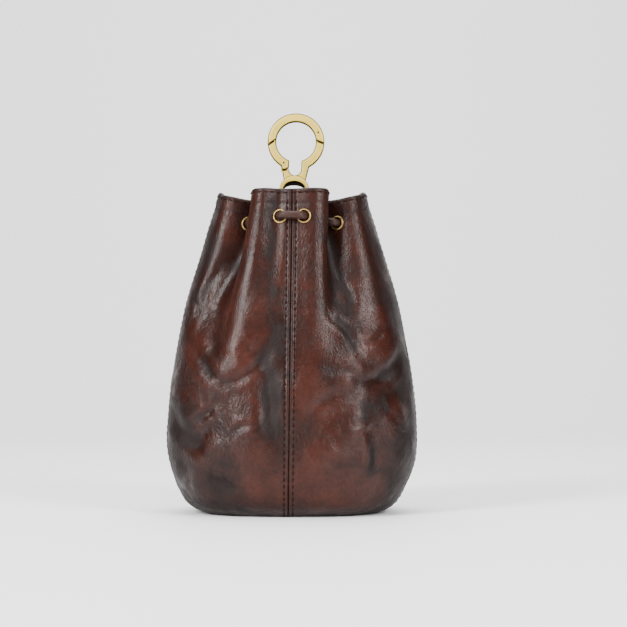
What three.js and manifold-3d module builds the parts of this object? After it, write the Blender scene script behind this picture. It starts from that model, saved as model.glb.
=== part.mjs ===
// A leather drawstring pouch, in millimetres, +Z up, its front towards -Y and its flat base on Z = 0.
// Four sewn leather panels form a bag with a flat base, a full belly and a mouth gathered into six folds.
// A leather drawstring is laced through twelve brass eyelets, and its two knotted ends hang down the back.
// A folded leather tab on the back of the rim holds a brass ring clasp, whose gate swings inwards on a pin.
import * as THREE from "three";
import { mergeVertices } from "three/addons/utils/BufferGeometryUtils.js";
import Module from "manifold-3d";

const wasm = await Module();
wasm.setup();

// The pouch
const pouchHeight = 150; // floor to the rim's ridges
const pouchWidth = 118;
const pouchDepth = 86;
const leatherThickness = 1.6;
const hemThickness = 2.8; // the leather turned over at the rim
const hemHeight = 7;
const seamGap = 0.3; // between two panels
const fitGap = 0.3; // between pieces that touch
const seamShiftTop = 0.2; // the front seam leans: to the right at the rim
const seamShiftBase = -1.4; // and to the left at the base

// Eyelets and drawstring
const eyeletDrop = 13; // from the rim down to the eyelets
const eyeletBore = 4.5;
const eyeletBarrel = 5.2;
const eyeletFlange = 6.8;
const flangeThickness = 0.6;
const drawstringDiameter = 3.6;
const endDrop = 62; // how far a free end hangs below its eyelet, down to its knot
const endBend = 7.5; // radius of a free end's turn out of its eyelet
const knotLength = 10;
const knotDiameter = 8;

// Tab and clasp
const tabWidth = 7;
const tabThickness = 1.4;
const tabLegLength = 10.5; // down each face of the hem
const ringOuter = 27.6;
const ringInner = 19.3;
const claspDepth = 4.4; // front face to back face
const claspChamfer = 0.45;
const claspTilt = 2; // degrees, to the right
const claspShift = 0.7; // of the eye's middle, to the right
const ringRise = 23.7; // from the eye's middle to the ring's
const slotWidth = 6;
const waistWidth = 13.6;
const shoulderWidth = 10.6;
const eyeOuter = 14.5;
const eyeSide = 1.75;
const eyeCrown = 2.9;
const eyeBar = 2.2;
const eyeDepth = 6.2;
const barDepth = 2.8;
const pinDiameter = 1.2;
const tongueThickness = 1.4;
const gateHub = 3.3; // radius of the gate's round foot about its pin

// Sections of the bag from the base up: height, half width, half depth as shares of the pouch's own,
// and the exponent of the section's rounded outline.
const sections = [
  { height: 0.0, width: 0.64, depth: 0.62, corner: 2.5 },
  { height: 0.007, width: 0.735, depth: 0.72, corner: 2.45 },
  { height: 0.03, width: 0.827, depth: 0.825, corner: 2.4 },
  { height: 0.075, width: 0.902, depth: 0.905, corner: 2.35 },
  { height: 0.135, width: 0.967, depth: 0.965, corner: 2.3 },
  { height: 0.205, width: 1.0, depth: 1.0, corner: 2.3 },
  { height: 0.29, width: 0.994, depth: 1.0, corner: 2.3 },
  { height: 0.38, width: 0.97, depth: 0.98, corner: 2.25 },
  { height: 0.47, width: 0.935, depth: 0.945, corner: 2.2 },
  { height: 0.56, width: 0.897, depth: 0.905, corner: 2.2 },
  { height: 0.65, width: 0.847, depth: 0.86, corner: 2.15 },
  { height: 0.74, width: 0.778, depth: 0.815, corner: 2.1 },
  { height: 0.82, width: 0.716, depth: 0.775, corner: 2.05 },
  { height: 0.89, width: 0.665, depth: 0.75, corner: 2.0 },
  { height: 0.945, width: 0.621, depth: 0.738, corner: 2.0 },
  { height: 1.0, width: 0.59, depth: 0.74, corner: 2.0 },
];

// Valleys between the folds. Angles are in degrees from the front towards the right: at the mouth and
// at the foot, where the valley fades out at the height `ends`. depth is a share of the radius, spread the
// half width in degrees, lean how far the ridges overhang in degrees, dip how far the rim drops as a share
// of the height, over dipSpread degrees about dipShift, and before and after are the angles from its
// middle to its two eyelets, or 0 for none.
const valleys = [
  { angle: -1.8, foot: 0, ends: 0.3, depth: 0.1, spread: 24, lean: 0,
    dip: 0.002, dipSpread: 20, dipShift: 0, before: 8.8, after: 12.6 },
  { angle: -14, foot: -24, ends: 0.42, depth: 0.07, spread: 12, lean: 0,
    dip: 0, dipSpread: 12, dipShift: 0, before: 0, after: 0 },
  { angle: 46, foot: 33, ends: 0.44, depth: 0.42, spread: 24, lean: 7,
    dip: 0.03, dipSpread: 28, dipShift: 6, before: 9, after: 9.5 },
  { angle: 134, foot: 128, ends: 0.42, depth: 0.4, spread: 24, lean: 6,
    dip: 0.04, dipSpread: 28, dipShift: 0, before: 14, after: 13 },
  { angle: 180, foot: 178, ends: 0.45, depth: 0.13, spread: 32, lean: 0,
    dip: 0.028, dipSpread: 44, dipShift: 0, before: 15.5, after: 15.5 },
  { angle: 226, foot: 230, ends: 0.4, depth: 0.4, spread: 24, lean: 6,
    dip: 0.04, dipSpread: 28, dipShift: 0, before: 13, after: 14 },
  { angle: 311, foot: 300, ends: 0.42, depth: 0.42, spread: 24, lean: 7,
    dip: 0.03, dipSpread: 28, dipShift: -6, before: 9.5, after: 9 },
];

// Dents and puffs of the belly: place as an angle and a share of the height, depth in shares of the wall
// thickness (negative for a puff), half length and half width as shares of the height, and tilt in degrees.
const dents = [
  { angle: -50, height: 0.27, depth: 1.7, long: 0.15, wide: 0.06, tilt: 35 },
  { angle: -42, height: 0.43, depth: -1.2, long: 0.12, wide: 0.07, tilt: 20 },
  { angle: -16, height: 0.37, depth: 1.0, long: 0.2, wide: 0.055, tilt: -8 },
  { angle: -55, height: 0.58, depth: 1.3, long: 0.13, wide: 0.05, tilt: -35 },
  { angle: 52, height: 0.2, depth: 1.6, long: 0.13, wide: 0.04, tilt: -8 },
  { angle: 38, height: 0.5, depth: -1.5, long: 0.1, wide: 0.07, tilt: -30 },
  { angle: 55, height: 0.42, depth: 1.4, long: 0.18, wide: 0.05, tilt: -48 },
  { angle: 24, height: 0.3, depth: 0.8, long: 0.14, wide: 0.08, tilt: 60 },
  { angle: 132, height: 0.36, depth: 1.5, long: 0.16, wide: 0.06, tilt: 40 },
  { angle: 160, height: 0.24, depth: 1.1, long: 0.12, wide: 0.06, tilt: -30 },
  { angle: 214, height: 0.42, depth: 1.5, long: 0.17, wide: 0.06, tilt: -42 },
  { angle: 236, height: 0.22, depth: 1.3, long: 0.13, wide: 0.06, tilt: 25 },
];

const radians = THREE.MathUtils.degToRad;
const wrapDegrees = (a) => ((((a + 180) % 360) + 360) % 360) - 180;
const smooth = (t) => {
  const c = THREE.MathUtils.clamp(t, 0, 1);
  return c * c * (3 - 2 * c);
};
const bell = (u) => (Math.abs(u) < 1 ? (1 - u * u) ** 2 : 0);

// A column of the sections' table at a fractional row, on a smooth curve through the rows.
function sectionValue(row, column) {
  const last = sections.length - 1;
  const i = Math.min(Math.floor(row), last - 1);
  const t = row - i;
  const at = (k) => sections[THREE.MathUtils.clamp(k, 0, last)][column];
  const [a, b, c, d] = [at(i - 1), at(i), at(i + 1), at(i + 2)];
  return b + 0.5 * t * (c - a + t * (2 * a - 5 * b + 4 * c - d + t * (3 * (b - c) + d - a)));
}

// The fractional row whose section is at a height, as a share of the pouch's height.
function rowAtHeight(share) {
  let low = 0;
  let high = sections.length - 1;
  for (let k = 0; k < 40; k++) {
    const middle = (low + high) / 2;
    if (sectionValue(middle, "height") < share) low = middle;
    else high = middle;
  }
  return (low + high) / 2;
}

// A point of the outer skin, at an angle from the front and a fractional row of the sections' table.
function skinPoint(around, row) {
  const share = sectionValue(row, "height");
  const halfWidth = (sectionValue(row, "width") * pouchWidth) / 2;
  const halfDepth = (sectionValue(row, "depth") * pouchDepth) / 2;
  const corner = sectionValue(row, "corner");
  let angle = around;
  let cut = 0;
  let dip = 0;
  for (const v of valleys) {
    const way = THREE.MathUtils.clamp((share - v.ends) / (1 - v.ends), 0, 1);
    const rise = smooth(way);
    const middle = v.foot + (v.angle - v.foot) * way;
    const u = wrapDegrees(around - middle) / v.spread;
    cut += v.depth * rise * bell(u);
    const lowest = wrapDegrees(around - middle - v.dipShift) / v.dipSpread;
    dip += v.dip * smooth((share - 0.8) / 0.2) * bell(lowest);
    if (Math.abs(u) < 1) angle -= 4 * v.lean * rise * u * Math.abs(u) * (1 - u * u);
  }
  const a = radians(angle);
  const widthPart = Math.abs(Math.sin(a) / halfWidth) ** corner;
  const depthPart = Math.abs(Math.cos(a) / halfDepth) ** corner;
  const outline = (widthPart + depthPart) ** (-1 / corner);
  let radius = outline * (1 - cut);
  for (const dent of dents) {
    const across = radians(wrapDegrees(around - dent.angle)) * outline;
    const up = (share - dent.height) * pouchHeight;
    const tilt = radians(dent.tilt);
    const along = (up * Math.cos(tilt) + across * Math.sin(tilt)) / (dent.long * pouchHeight);
    const beside = (across * Math.cos(tilt) - up * Math.sin(tilt)) / (dent.wide * pouchHeight);
    radius -= dent.depth * leatherThickness * Math.exp(-along * along - beside * beside);
  }
  const facing = Math.max(0, Math.cos(a)) ** 2;
  const shift = seamShiftBase + (seamShiftTop - seamShiftBase) * share;
  return new THREE.Vector3(
    radius * Math.sin(a) + shift * facing,
    -radius * Math.cos(a),
    (share - dip) * pouchHeight,
  );
}

// The outer skin's unit normal, pointing out of the bag.
function skinNormal(around, row) {
  const stepAngle = 0.4;
  const stepRow = 0.04;
  const last = sections.length - 1;
  const right = skinPoint(around + stepAngle, row).sub(skinPoint(around - stepAngle, row));
  const above = skinPoint(around, Math.min(row + stepRow, last));
  const up = above.sub(skinPoint(around, Math.max(row - stepRow, 0)));
  return right.cross(up).normalize();
}

// A point off the skin, out of the bag by a distance, or into it if that is negative.
const offSkin = (around, row, out) => skinPoint(around, row).addScaledVector(skinNormal(around, row), out);

// A solid from points and triangles; points that coincide are joined and empty triangles dropped.
function solidOf(geometry) {
  const bare = new THREE.BufferGeometry().setAttribute(
    "position",
    (geometry.index ? geometry.toNonIndexed() : geometry).getAttribute("position"),
  );
  const merged = mergeVertices(bare, 1e-4);
  const index = merged.index.array;
  const kept = [];
  for (let i = 0; i < index.length; i += 3) {
    const [a, b, c] = [index[i], index[i + 1], index[i + 2]];
    if (a !== b && b !== c && c !== a) kept.push(a, b, c);
  }
  return new wasm.Manifold(
    new wasm.Mesh({
      numProp: 3,
      vertProperties: merged.attributes.position.array,
      triVerts: new Uint32Array(kept),
    }),
  );
}

function geometryOf(solid) {
  const mesh = solid.getMesh();
  const geometry = new THREE.BufferGeometry();
  geometry.setAttribute("position", new THREE.BufferAttribute(new Float32Array(mesh.vertProperties), 3));
  geometry.setIndex(new THREE.BufferAttribute(new Uint32Array(mesh.triVerts), 1));
  const flat = geometry.toNonIndexed();
  flat.computeVertexNormals();
  return flat;
}

function geometryFrom(points, faces) {
  const geometry = new THREE.BufferGeometry();
  const positions = points.flatMap((p) => [p.x, p.y, p.z]);
  geometry.setAttribute("position", new THREE.Float32BufferAttribute(positions, 3));
  geometry.setIndex(faces);
  const flat = geometry.toNonIndexed();
  flat.computeVertexNormals();
  return flat;
}

// A closed surface from rows of points: each row is a closed loop, and both ends are capped.
function loftOf(rows) {
  const columns = rows[0].length;
  const points = rows.flat();
  const faces = [];
  for (let i = 0; i + 1 < rows.length; i++)
    for (let k = 0; k < columns; k++) {
      const a = i * columns + k;
      const b = i * columns + ((k + 1) % columns);
      faces.push(a, b, b + columns, a, b + columns, a + columns);
    }
  for (const last of [false, true]) {
    const row = last ? rows[rows.length - 1] : rows[0];
    const start = last ? (rows.length - 1) * columns : 0;
    const middle = points.length;
    points.push(row.reduce((sum, p) => sum.add(p), new THREE.Vector3()).divideScalar(columns));
    for (let k = 0; k < columns; k++) {
      const a = start + k;
      const b = start + ((k + 1) % columns);
      faces.push(...(last ? [a, b, middle] : [b, a, middle]));
    }
  }
  return geometryFrom(points, faces);
}

// A round bar through points, with flat mitred turns at each of them.
function barThrough(points, diameter, sides) {
  const rows = [];
  let side = new THREE.Vector3(0, 0, 1);
  points.forEach((p, i) => {
    const before = points[Math.max(i - 1, 0)];
    const after = points[Math.min(i + 1, points.length - 1)];
    const back = p.clone().sub(before).normalize();
    const forth = after.clone().sub(p).normalize();
    const along = back.clone().add(forth).normalize();
    side.addScaledVector(along, -side.dot(along)).normalize();
    const other = along.clone().cross(side);
    rows.push(
      Array.from({ length: sides }, (_, k) => {
        const a = (k * 2 * Math.PI) / sides;
        return p
          .clone()
          .addScaledVector(side, (diameter / 2) * Math.cos(a))
          .addScaledVector(other, (diameter / 2) * Math.sin(a));
      }),
    );
  });
  return loftOf(rows);
}

// Materials
const leather = new THREE.MeshStandardMaterial({ color: 0x5a3630, roughness: 0.42, metalness: 0 });
const cordLeather = new THREE.MeshStandardMaterial({ color: 0x47302b, roughness: 0.6, metalness: 0 });
const brass = new THREE.MeshStandardMaterial({ color: 0xc4a15c, roughness: 0.3, metalness: 1 });
const darkBrass = new THREE.MeshStandardMaterial({ color: 0x8c6c38, roughness: 0.4, metalness: 1 });

function meshOf(name, geometry, material) {
  const mesh = new THREE.Mesh(geometry, material);
  mesh.name = name;
  return mesh;
}

const pouch = new THREE.Group();

// The eyelets: two on the slopes of each laced valley
const lastRow = sections.length - 1;
const eyeletRow = rowAtHeight(1 - eyeletDrop / pouchHeight);
const wrapPositive = (a) => ((a % 360) + 360) % 360;
const eyelets = valleys
  .filter((v) => v.before > 0)
  .flatMap((v) => [v.angle - v.before, v.angle + v.after])
  .map((around) => ({
    around,
    middle: skinPoint(around, eyeletRow),
    normal: skinNormal(around, eyeletRow),
  }))
  .sort((a, b) => wrapPositive(a.around + 180) - wrapPositive(b.around + 180));

const outerSeat = fitGap - 0.1; // how far above the skin the outer flange lies
const innerSeat = -leatherThickness - outerSeat;
const outerLip = outerSeat + flangeThickness;
const innerLip = innerSeat - flangeThickness;

function eyeletGeometry() {
  const bore = eyeletBore / 2;
  const barrel = eyeletBarrel / 2;
  const flange = eyeletFlange / 2;
  const profile = [
    [bore, innerLip],
    [flange, innerLip],
    [flange, innerSeat],
    [barrel, innerSeat],
    [barrel, outerSeat],
    [flange, outerSeat],
    [flange - 0.25, outerLip],
    [bore, outerLip],
    [bore, innerLip],
  ].map(([r, y]) => new THREE.Vector2(r, y));
  return new THREE.LatheGeometry(profile, 10);
}

// A round cutter along an eyelet's axis, from one distance off the skin to another.
function eyeletCutter(eyelet, radius, from, to) {
  const cylinder = new THREE.CylinderGeometry(radius, radius, to - from, 10);
  cylinder.translate(0, (from + to) / 2, 0);
  const turn = new THREE.Quaternion().setFromUnitVectors(new THREE.Vector3(0, 1, 0), eyelet.normal);
  cylinder.applyQuaternion(turn);
  cylinder.translate(eyelet.middle.x, eyelet.middle.y, eyelet.middle.z);
  return solidOf(cylinder);
}

// One panel of the bag between two seams. Its corner at the middle of the base is half a seam off each seam.
function panelSolid(from, to) {
  const segments = 15;
  const hemRow = rowAtHeight(1 - hemHeight / pouchHeight);
  const rowList = [lastRow, hemRow, hemRow - 0.08, 12.8, 11.6, 10.4, 9.2, 8, 6.6, 5, 3.6, 2.6, 1.7, 1, 0];
  const baseRings = [0.5, 0];
  const middle = radians((from + to) / 2);
  const half = seamGap / 2;
  const toRight = Math.sign(Math.sin(middle));
  const toFront = -Math.sign(Math.cos(middle));
  const corner = new THREE.Vector3(toRight * half, toFront * half, 0);
  const outer = [];
  const inner = [];
  const anglesAt = (row) => {
    const edge = (at) => THREE.MathUtils.radToDeg(half / skinPoint(at, row).setZ(0).length());
    const first = from + edge(from);
    const last = to - edge(to);
    return Array.from({ length: segments + 1 }, (_, k) => first + ((last - first) * k) / segments);
  };
  for (const row of rowList) {
    const wall = row >= hemRow ? hemThickness : leatherThickness;
    outer.push(anglesAt(row).map((around) => skinPoint(around, row)));
    inner.push(anglesAt(row).map((around) => offSkin(around, row, -wall)));
  }
  const rim = outer[outer.length - 1];
  for (const share of baseRings) {
    const ring = rim.map((p) => corner.clone().lerp(p.clone().setZ(0), share));
    outer.push(ring);
    inner.push(ring.map((p) => p.clone().setZ(leatherThickness)));
  }
  const columns = segments + 1;
  const offset = outer.length * columns;
  const points = [...outer.flat(), ...inner.flat()];
  const faces = [];
  const quad = (a, b, c, d) => faces.push(a, b, c, a, c, d);
  for (let i = 0; i + 1 < outer.length; i++) {
    const a = i * columns;
    const b = a + columns;
    for (let k = 0; k < segments; k++) {
      quad(b + k, b + k + 1, a + k + 1, a + k);
      quad(offset + a + k, offset + a + k + 1, offset + b + k + 1, offset + b + k);
    }
    quad(a, offset + a, offset + b, b);
    quad(b + segments, offset + b + segments, offset + a + segments, a + segments);
  }
  for (let k = 0; k < segments; k++) quad(k, k + 1, offset + k + 1, offset + k);
  return solidOf(geometryFrom(points, faces));
}

const panels = [
  { name: "front_right_panel", from: 0, to: 90 },
  { name: "back_right_panel", from: 90, to: 180 },
  { name: "back_left_panel", from: 180, to: 270 },
  { name: "front_left_panel", from: 270, to: 360 },
];
for (const { name, from, to } of panels) {
  const hole = eyeletBarrel / 2 + fitGap;
  const pocket = eyeletFlange / 2 + fitGap;
  const reach = 5;
  let panel = panelSolid(from, to);
  for (const eyelet of eyelets) {
    if (wrapPositive(eyelet.around) < from || wrapPositive(eyelet.around) > to) continue;
    panel = panel.subtract(eyeletCutter(eyelet, hole, -reach, reach));
    panel = panel.subtract(eyeletCutter(eyelet, pocket, outerSeat - fitGap, reach));
    panel = panel.subtract(eyeletCutter(eyelet, pocket, -reach, innerSeat + fitGap));
  }
  pouch.add(meshOf(name, geometryOf(panel), leather));
}

// Eyelets as meshes
const eyeletShape = eyeletGeometry();
eyelets.forEach((eyelet, i) => {
  const mesh = meshOf(`eyelet_${i + 1}`, eyeletShape, brass);
  mesh.position.copy(eyelet.middle);
  mesh.quaternion.setFromUnitVectors(new THREE.Vector3(0, 1, 0), eyelet.normal);
  pouch.add(mesh);
});

// The drawstring's turn out of an eyelet, or into it: an arc round the bore's lip, as far as it takes to
// head for a point, and a quarter circle at most.
function lipTurn(eyelet, toward, outside) {
  const lip = eyeletBore / 2;
  const bend = drawstringDiameter / 2 + 0.35;
  const away = eyelet.normal.clone().multiplyScalar(outside ? 1 : -1);
  const height = outside ? outerLip : -innerLip;
  const heading = toward.clone().sub(eyelet.middle).normalize();
  const turn = Math.acos(THREE.MathUtils.clamp(heading.dot(away), 0, 1));
  const across = heading.clone().addScaledVector(away, -heading.dot(away)).normalize();
  const lift = 0.6 * (turn / (Math.PI / 2)) ** 2;
  return [0, 0.5, 1].map((share) => {
    const along = (lip - bend) * (share > 0 ? 1 : 0.5) + bend * (1 - Math.cos(turn * share));
    const rise = height + bend * Math.sin(turn * share) + lift * share;
    return eyelet.middle.clone().addScaledVector(across, along).addScaledVector(away, rise);
  });
}

// The laced drawstring runs from the back's right eyelet round the front to the back's left one:
// outside across each valley, and inside each ridge. Its first and last points are the outer lips.
function drawstringRoute() {
  const points = [];
  eyelets.forEach((eyelet, i) => {
    const goesOut = i % 2 === 1;
    const previous = eyelets[i - 1];
    const next = eyelets[i + 1];
    if (previous) points.push(...lipTurn(eyelet, previous.middle, !goesOut).reverse());
    else points.push(eyelet.middle.clone().addScaledVector(eyelet.normal, outerLip));
    if (next) points.push(...lipTurn(eyelet, next.middle, goesOut));
    else points.push(eyelet.middle.clone().addScaledVector(eyelet.normal, outerLip));
  });
  return points;
}

pouch.add(meshOf("drawstring", barThrough(drawstringRoute(), drawstringDiameter, 8), cordLeather));

// The back skin's y at a place seen from behind, the farthest out within a reach up and down.
function backSkin(x, z, reach) {
  let farthest = 0;
  for (const level of [z - reach, z - reach / 2, z, z + reach / 2, z + reach]) {
    const row = rowAtHeight(level / pouchHeight);
    let [low, high] = [110, 250];
    for (let k = 0; k < 30; k++) {
      const middle = (low + high) / 2;
      if (skinPoint(middle, row).x > x) low = middle;
      else high = middle;
    }
    farthest = Math.max(farthest, skinPoint(low, row).y);
  }
  return farthest;
}

// A free end: out of its eyelet, round a bend and down along the back's skin to its knot.
function endRoute(eyelet) {
  const start = eyelet.middle.clone().addScaledVector(eyelet.normal, outerLip + fitGap);
  const straight = start.clone().addScaledVector(eyelet.normal, 0.6);
  const points = [start, straight];
  const arcSteps = 5;
  for (let k = 1; k <= arcSteps; k++) {
    const a = (k * Math.PI) / 2 / arcSteps;
    const across = endBend * Math.sin(a);
    const down = new THREE.Vector3(0, 0, -endBend * (1 - Math.cos(a)));
    points.push(straight.clone().addScaledVector(eyelet.normal, across).add(down));
  }
  const bendFoot = points[points.length - 1];
  const hangSteps = 8;
  const drop = endDrop - endBend;
  const clear = drawstringDiameter / 2 + 0.5;
  for (let k = 1; k <= hangSteps; k++) {
    const z = bendFoot.z - (drop * k) / hangSteps;
    const resting = backSkin(bendFoot.x, z, 4) + clear;
    points.push(new THREE.Vector3(bendFoot.x, Math.max(resting, bendFoot.y), z));
  }
  return points;
}

function knotGeometry() {
  const wide = knotDiameter / 2;
  const narrow = wide * 0.82;
  const end = drawstringDiameter / 2;
  const profile = [
    [0, 0],
    [end, 0],
    [wide, knotLength * 0.17],
    [narrow, knotLength * 0.34],
    [wide, knotLength * 0.5],
    [narrow, knotLength * 0.66],
    [wide, knotLength * 0.83],
    [end, knotLength],
    [0, knotLength],
  ].map(([r, y]) => new THREE.Vector2(r, -y));
  return new THREE.LatheGeometry(profile.reverse(), 10).rotateX(Math.PI / 2);
}

const endEyelets = [
  { side: "left", eyelet: eyelets[0] },
  { side: "right", eyelet: eyelets[eyelets.length - 1] },
];
for (const { side, eyelet } of endEyelets) {
  const route = endRoute(eyelet);
  pouch.add(meshOf(`drawstring_end_${side}`, barThrough(route, drawstringDiameter, 8), cordLeather));
  const foot = route[route.length - 1];
  const knot = meshOf(`end_knot_${side}`, knotGeometry(), cordLeather);
  const resting = backSkin(foot.x, foot.z - knotLength / 2, knotLength) + knotDiameter / 2 + 0.5;
  knot.position.set(foot.x, Math.max(foot.y, resting), foot.z - fitGap);
  pouch.add(knot);
}

// The tab: a strap up the hem's outer face, over the bar of the clasp's eye and down the inner face
const backRim = offSkin(180, lastRow, -hemThickness / 2);
const rimTop = backRim.z;
const claspPlane = backRim.y;
const eyeMiddle = rimTop + fitGap + eyeOuter / 2;
const barTop = eyeMiddle - eyeOuter / 2 + eyeBar;

function tabGeometry() {
  const across = 4;
  const rows = [];
  const skinRadius = skinPoint(180, lastRow).y;
  const place = (k) => claspShift + (k / across - 0.5) * tabWidth;
  const legAngle = (x) => 180 - THREE.MathUtils.radToDeg(x / skinRadius);
  const legRow = (row, near, far) => {
    const angles = Array.from({ length: across + 1 }, (_, k) => legAngle(place(k)));
    const inside = angles.map((angle) => offSkin(angle, row, near));
    const outside = angles.reverse().map((angle) => offSkin(angle, row, far));
    return [...inside, ...outside];
  };
  const legRows = Array.from({ length: 4 }, (_, k) =>
    rowAtHeight(1 + (-tabLegLength + (k * (tabLegLength + 4)) / 3) / pouchHeight),
  ).map((row) => Math.min(row, lastRow));
  const inner = barDepth / 2 + fitGap;
  for (const row of legRows) rows.push(legRow(row, fitGap, fitGap + tabThickness));
  const arcSteps = 5;
  for (let k = 0; k <= arcSteps; k++) {
    const a = (k * Math.PI) / arcSteps;
    const loop = (radius, order) =>
      order.map(
        (x) => new THREE.Vector3(x, claspPlane + radius * Math.cos(a), barTop + radius * Math.sin(a)),
      );
    const xs = Array.from({ length: across + 1 }, (_, i) => place(i));
    rows.push([...loop(inner, xs), ...loop(inner + tabThickness, [...xs].reverse())]);
  }
  for (const row of [...legRows].reverse())
    rows.push(legRow(row, -hemThickness - fitGap, -hemThickness - fitGap - tabThickness));
  return loftOf(rows);
}

pouch.add(meshOf("hanging_tab", tabGeometry(), leather));

// The clasp, drawn in its own plane with the eye's middle at the origin, x to the right and z up
const arcPoints = (x, z, radius, from, to, steps) =>
  Array.from({ length: steps + 1 }, (_, k) => {
    const a = radians(from + ((to - from) * k) / steps);
    return new THREE.Vector2(x + radius * Math.cos(a), z + radius * Math.sin(a));
  });

// A flat shape given its depth about the clasp's plane, with bevelled edges where asked.
function slabOf(shape, depth, bevel) {
  const slab = new THREE.ExtrudeGeometry(shape, {
    depth: depth - 2 * bevel,
    bevelEnabled: bevel > 0,
    bevelThickness: bevel,
    bevelSize: bevel,
    bevelOffset: -bevel,
    bevelSegments: 1,
    curveSegments: 8,
  });
  slab.translate(0, 0, -(depth - 2 * bevel) / 2);
  slab.rotateX(Math.PI / 2);
  return solidOf(slab);
}

const ringRadius = ringOuter / 2;
const boreRadius = ringInner / 2;
const eyeRadius = eyeOuter / 2;

// The eye's opening: a flattened arch above, and a flat foot below for the strap to lie on.
function eyeOpening() {
  const halfWidth = eyeRadius - eyeSide;
  const crown = eyeRadius - eyeCrown;
  const foot = eyeRadius - eyeBar;
  const arch = arcPoints(0, 0, 1, 0, 180, 10).map((p) => new THREE.Vector2(p.x * halfWidth, p.y * crown));
  const cornered = [
    [1, 0.5],
    [0.78, 0.86],
    [0.6, 1],
  ].map(([x, z]) => new THREE.Vector2(x * halfWidth, -z * foot));
  return [...arch, ...cornered.map((p) => new THREE.Vector2(-p.x, p.y)), ...cornered.reverse()];
}

function claspBlank() {
  const waistAngle = THREE.MathUtils.radToDeg(Math.acos(waistWidth / 2 / ringRadius));
  const shoulder = THREE.MathUtils.radToDeg(Math.acos(shoulderWidth / 2 / eyeRadius));
  const outline = new THREE.Shape([
    ...arcPoints(0, ringRise, ringRadius, -waistAngle, 180 + waistAngle, 26),
    ...arcPoints(0, 0, eyeRadius, 180 - shoulder, 360 + shoulder, 16),
  ]);
  const slotAngle = THREE.MathUtils.radToDeg(Math.acos(slotWidth / 2 / boreRadius));
  const slotFoot = eyeRadius + slotWidth / 2 + 0.1;
  const keyhole = new THREE.Path([
    ...arcPoints(0, ringRise, boreRadius, 180 + slotAngle, -slotAngle, 24),
    ...arcPoints(0, slotFoot, slotWidth / 2, 0, -180, 6),
  ]);
  outline.holes.push(keyhole, new THREE.Path(eyeOpening()));
  const sleeve = new THREE.Shape(arcPoints(0, 0, eyeRadius, 0, 340, 17));
  sleeve.holes.push(new THREE.Path(eyeOpening()));
  let blank = slabOf(outline, claspDepth, claspChamfer).add(slabOf(sleeve, eyeDepth, claspChamfer / 2));
  const clear = tabWidth / 2 + 2 * fitGap;
  for (const side of [-1, 1]) {
    const room = new THREE.BoxGeometry(2 * clear, eyeDepth, eyeRadius + 1);
    room.translate(0, (side * (barDepth + eyeDepth)) / 2, -eyeRadius / 2 - 1.6);
    blank = blank.subtract(solidOf(room));
  }
  return blank;
}

const polygonSlab = (points, depth) =>
  slabOf(new THREE.Shape(points.map(([x, z]) => new THREE.Vector2(x, z))), depth, 0);
const diskSlab = (x, z, radius, depth) =>
  slabOf(new THREE.Shape(arcPoints(x, z, radius, 0, 330, 11)), depth, 0);

// Joints of the clasp: the gate's pin in the left leg, the bow's pin in the right of the ring, and the
// sloping joint lines on both sides of the ring, each given by its inner and outer end.
const gatePin = { x: -5.6, z: 13.2 };
const bowPin = { x: 10.6, z: 28.6 };
const leftJoint = { innerX: -8.5, innerZ: 25.4, outerX: -15.5, outerZ: 20.2 };
const rightJoint = { innerX: 8.2, innerZ: 25.1, outerX: 15.5, outerZ: 22.6 };

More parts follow.
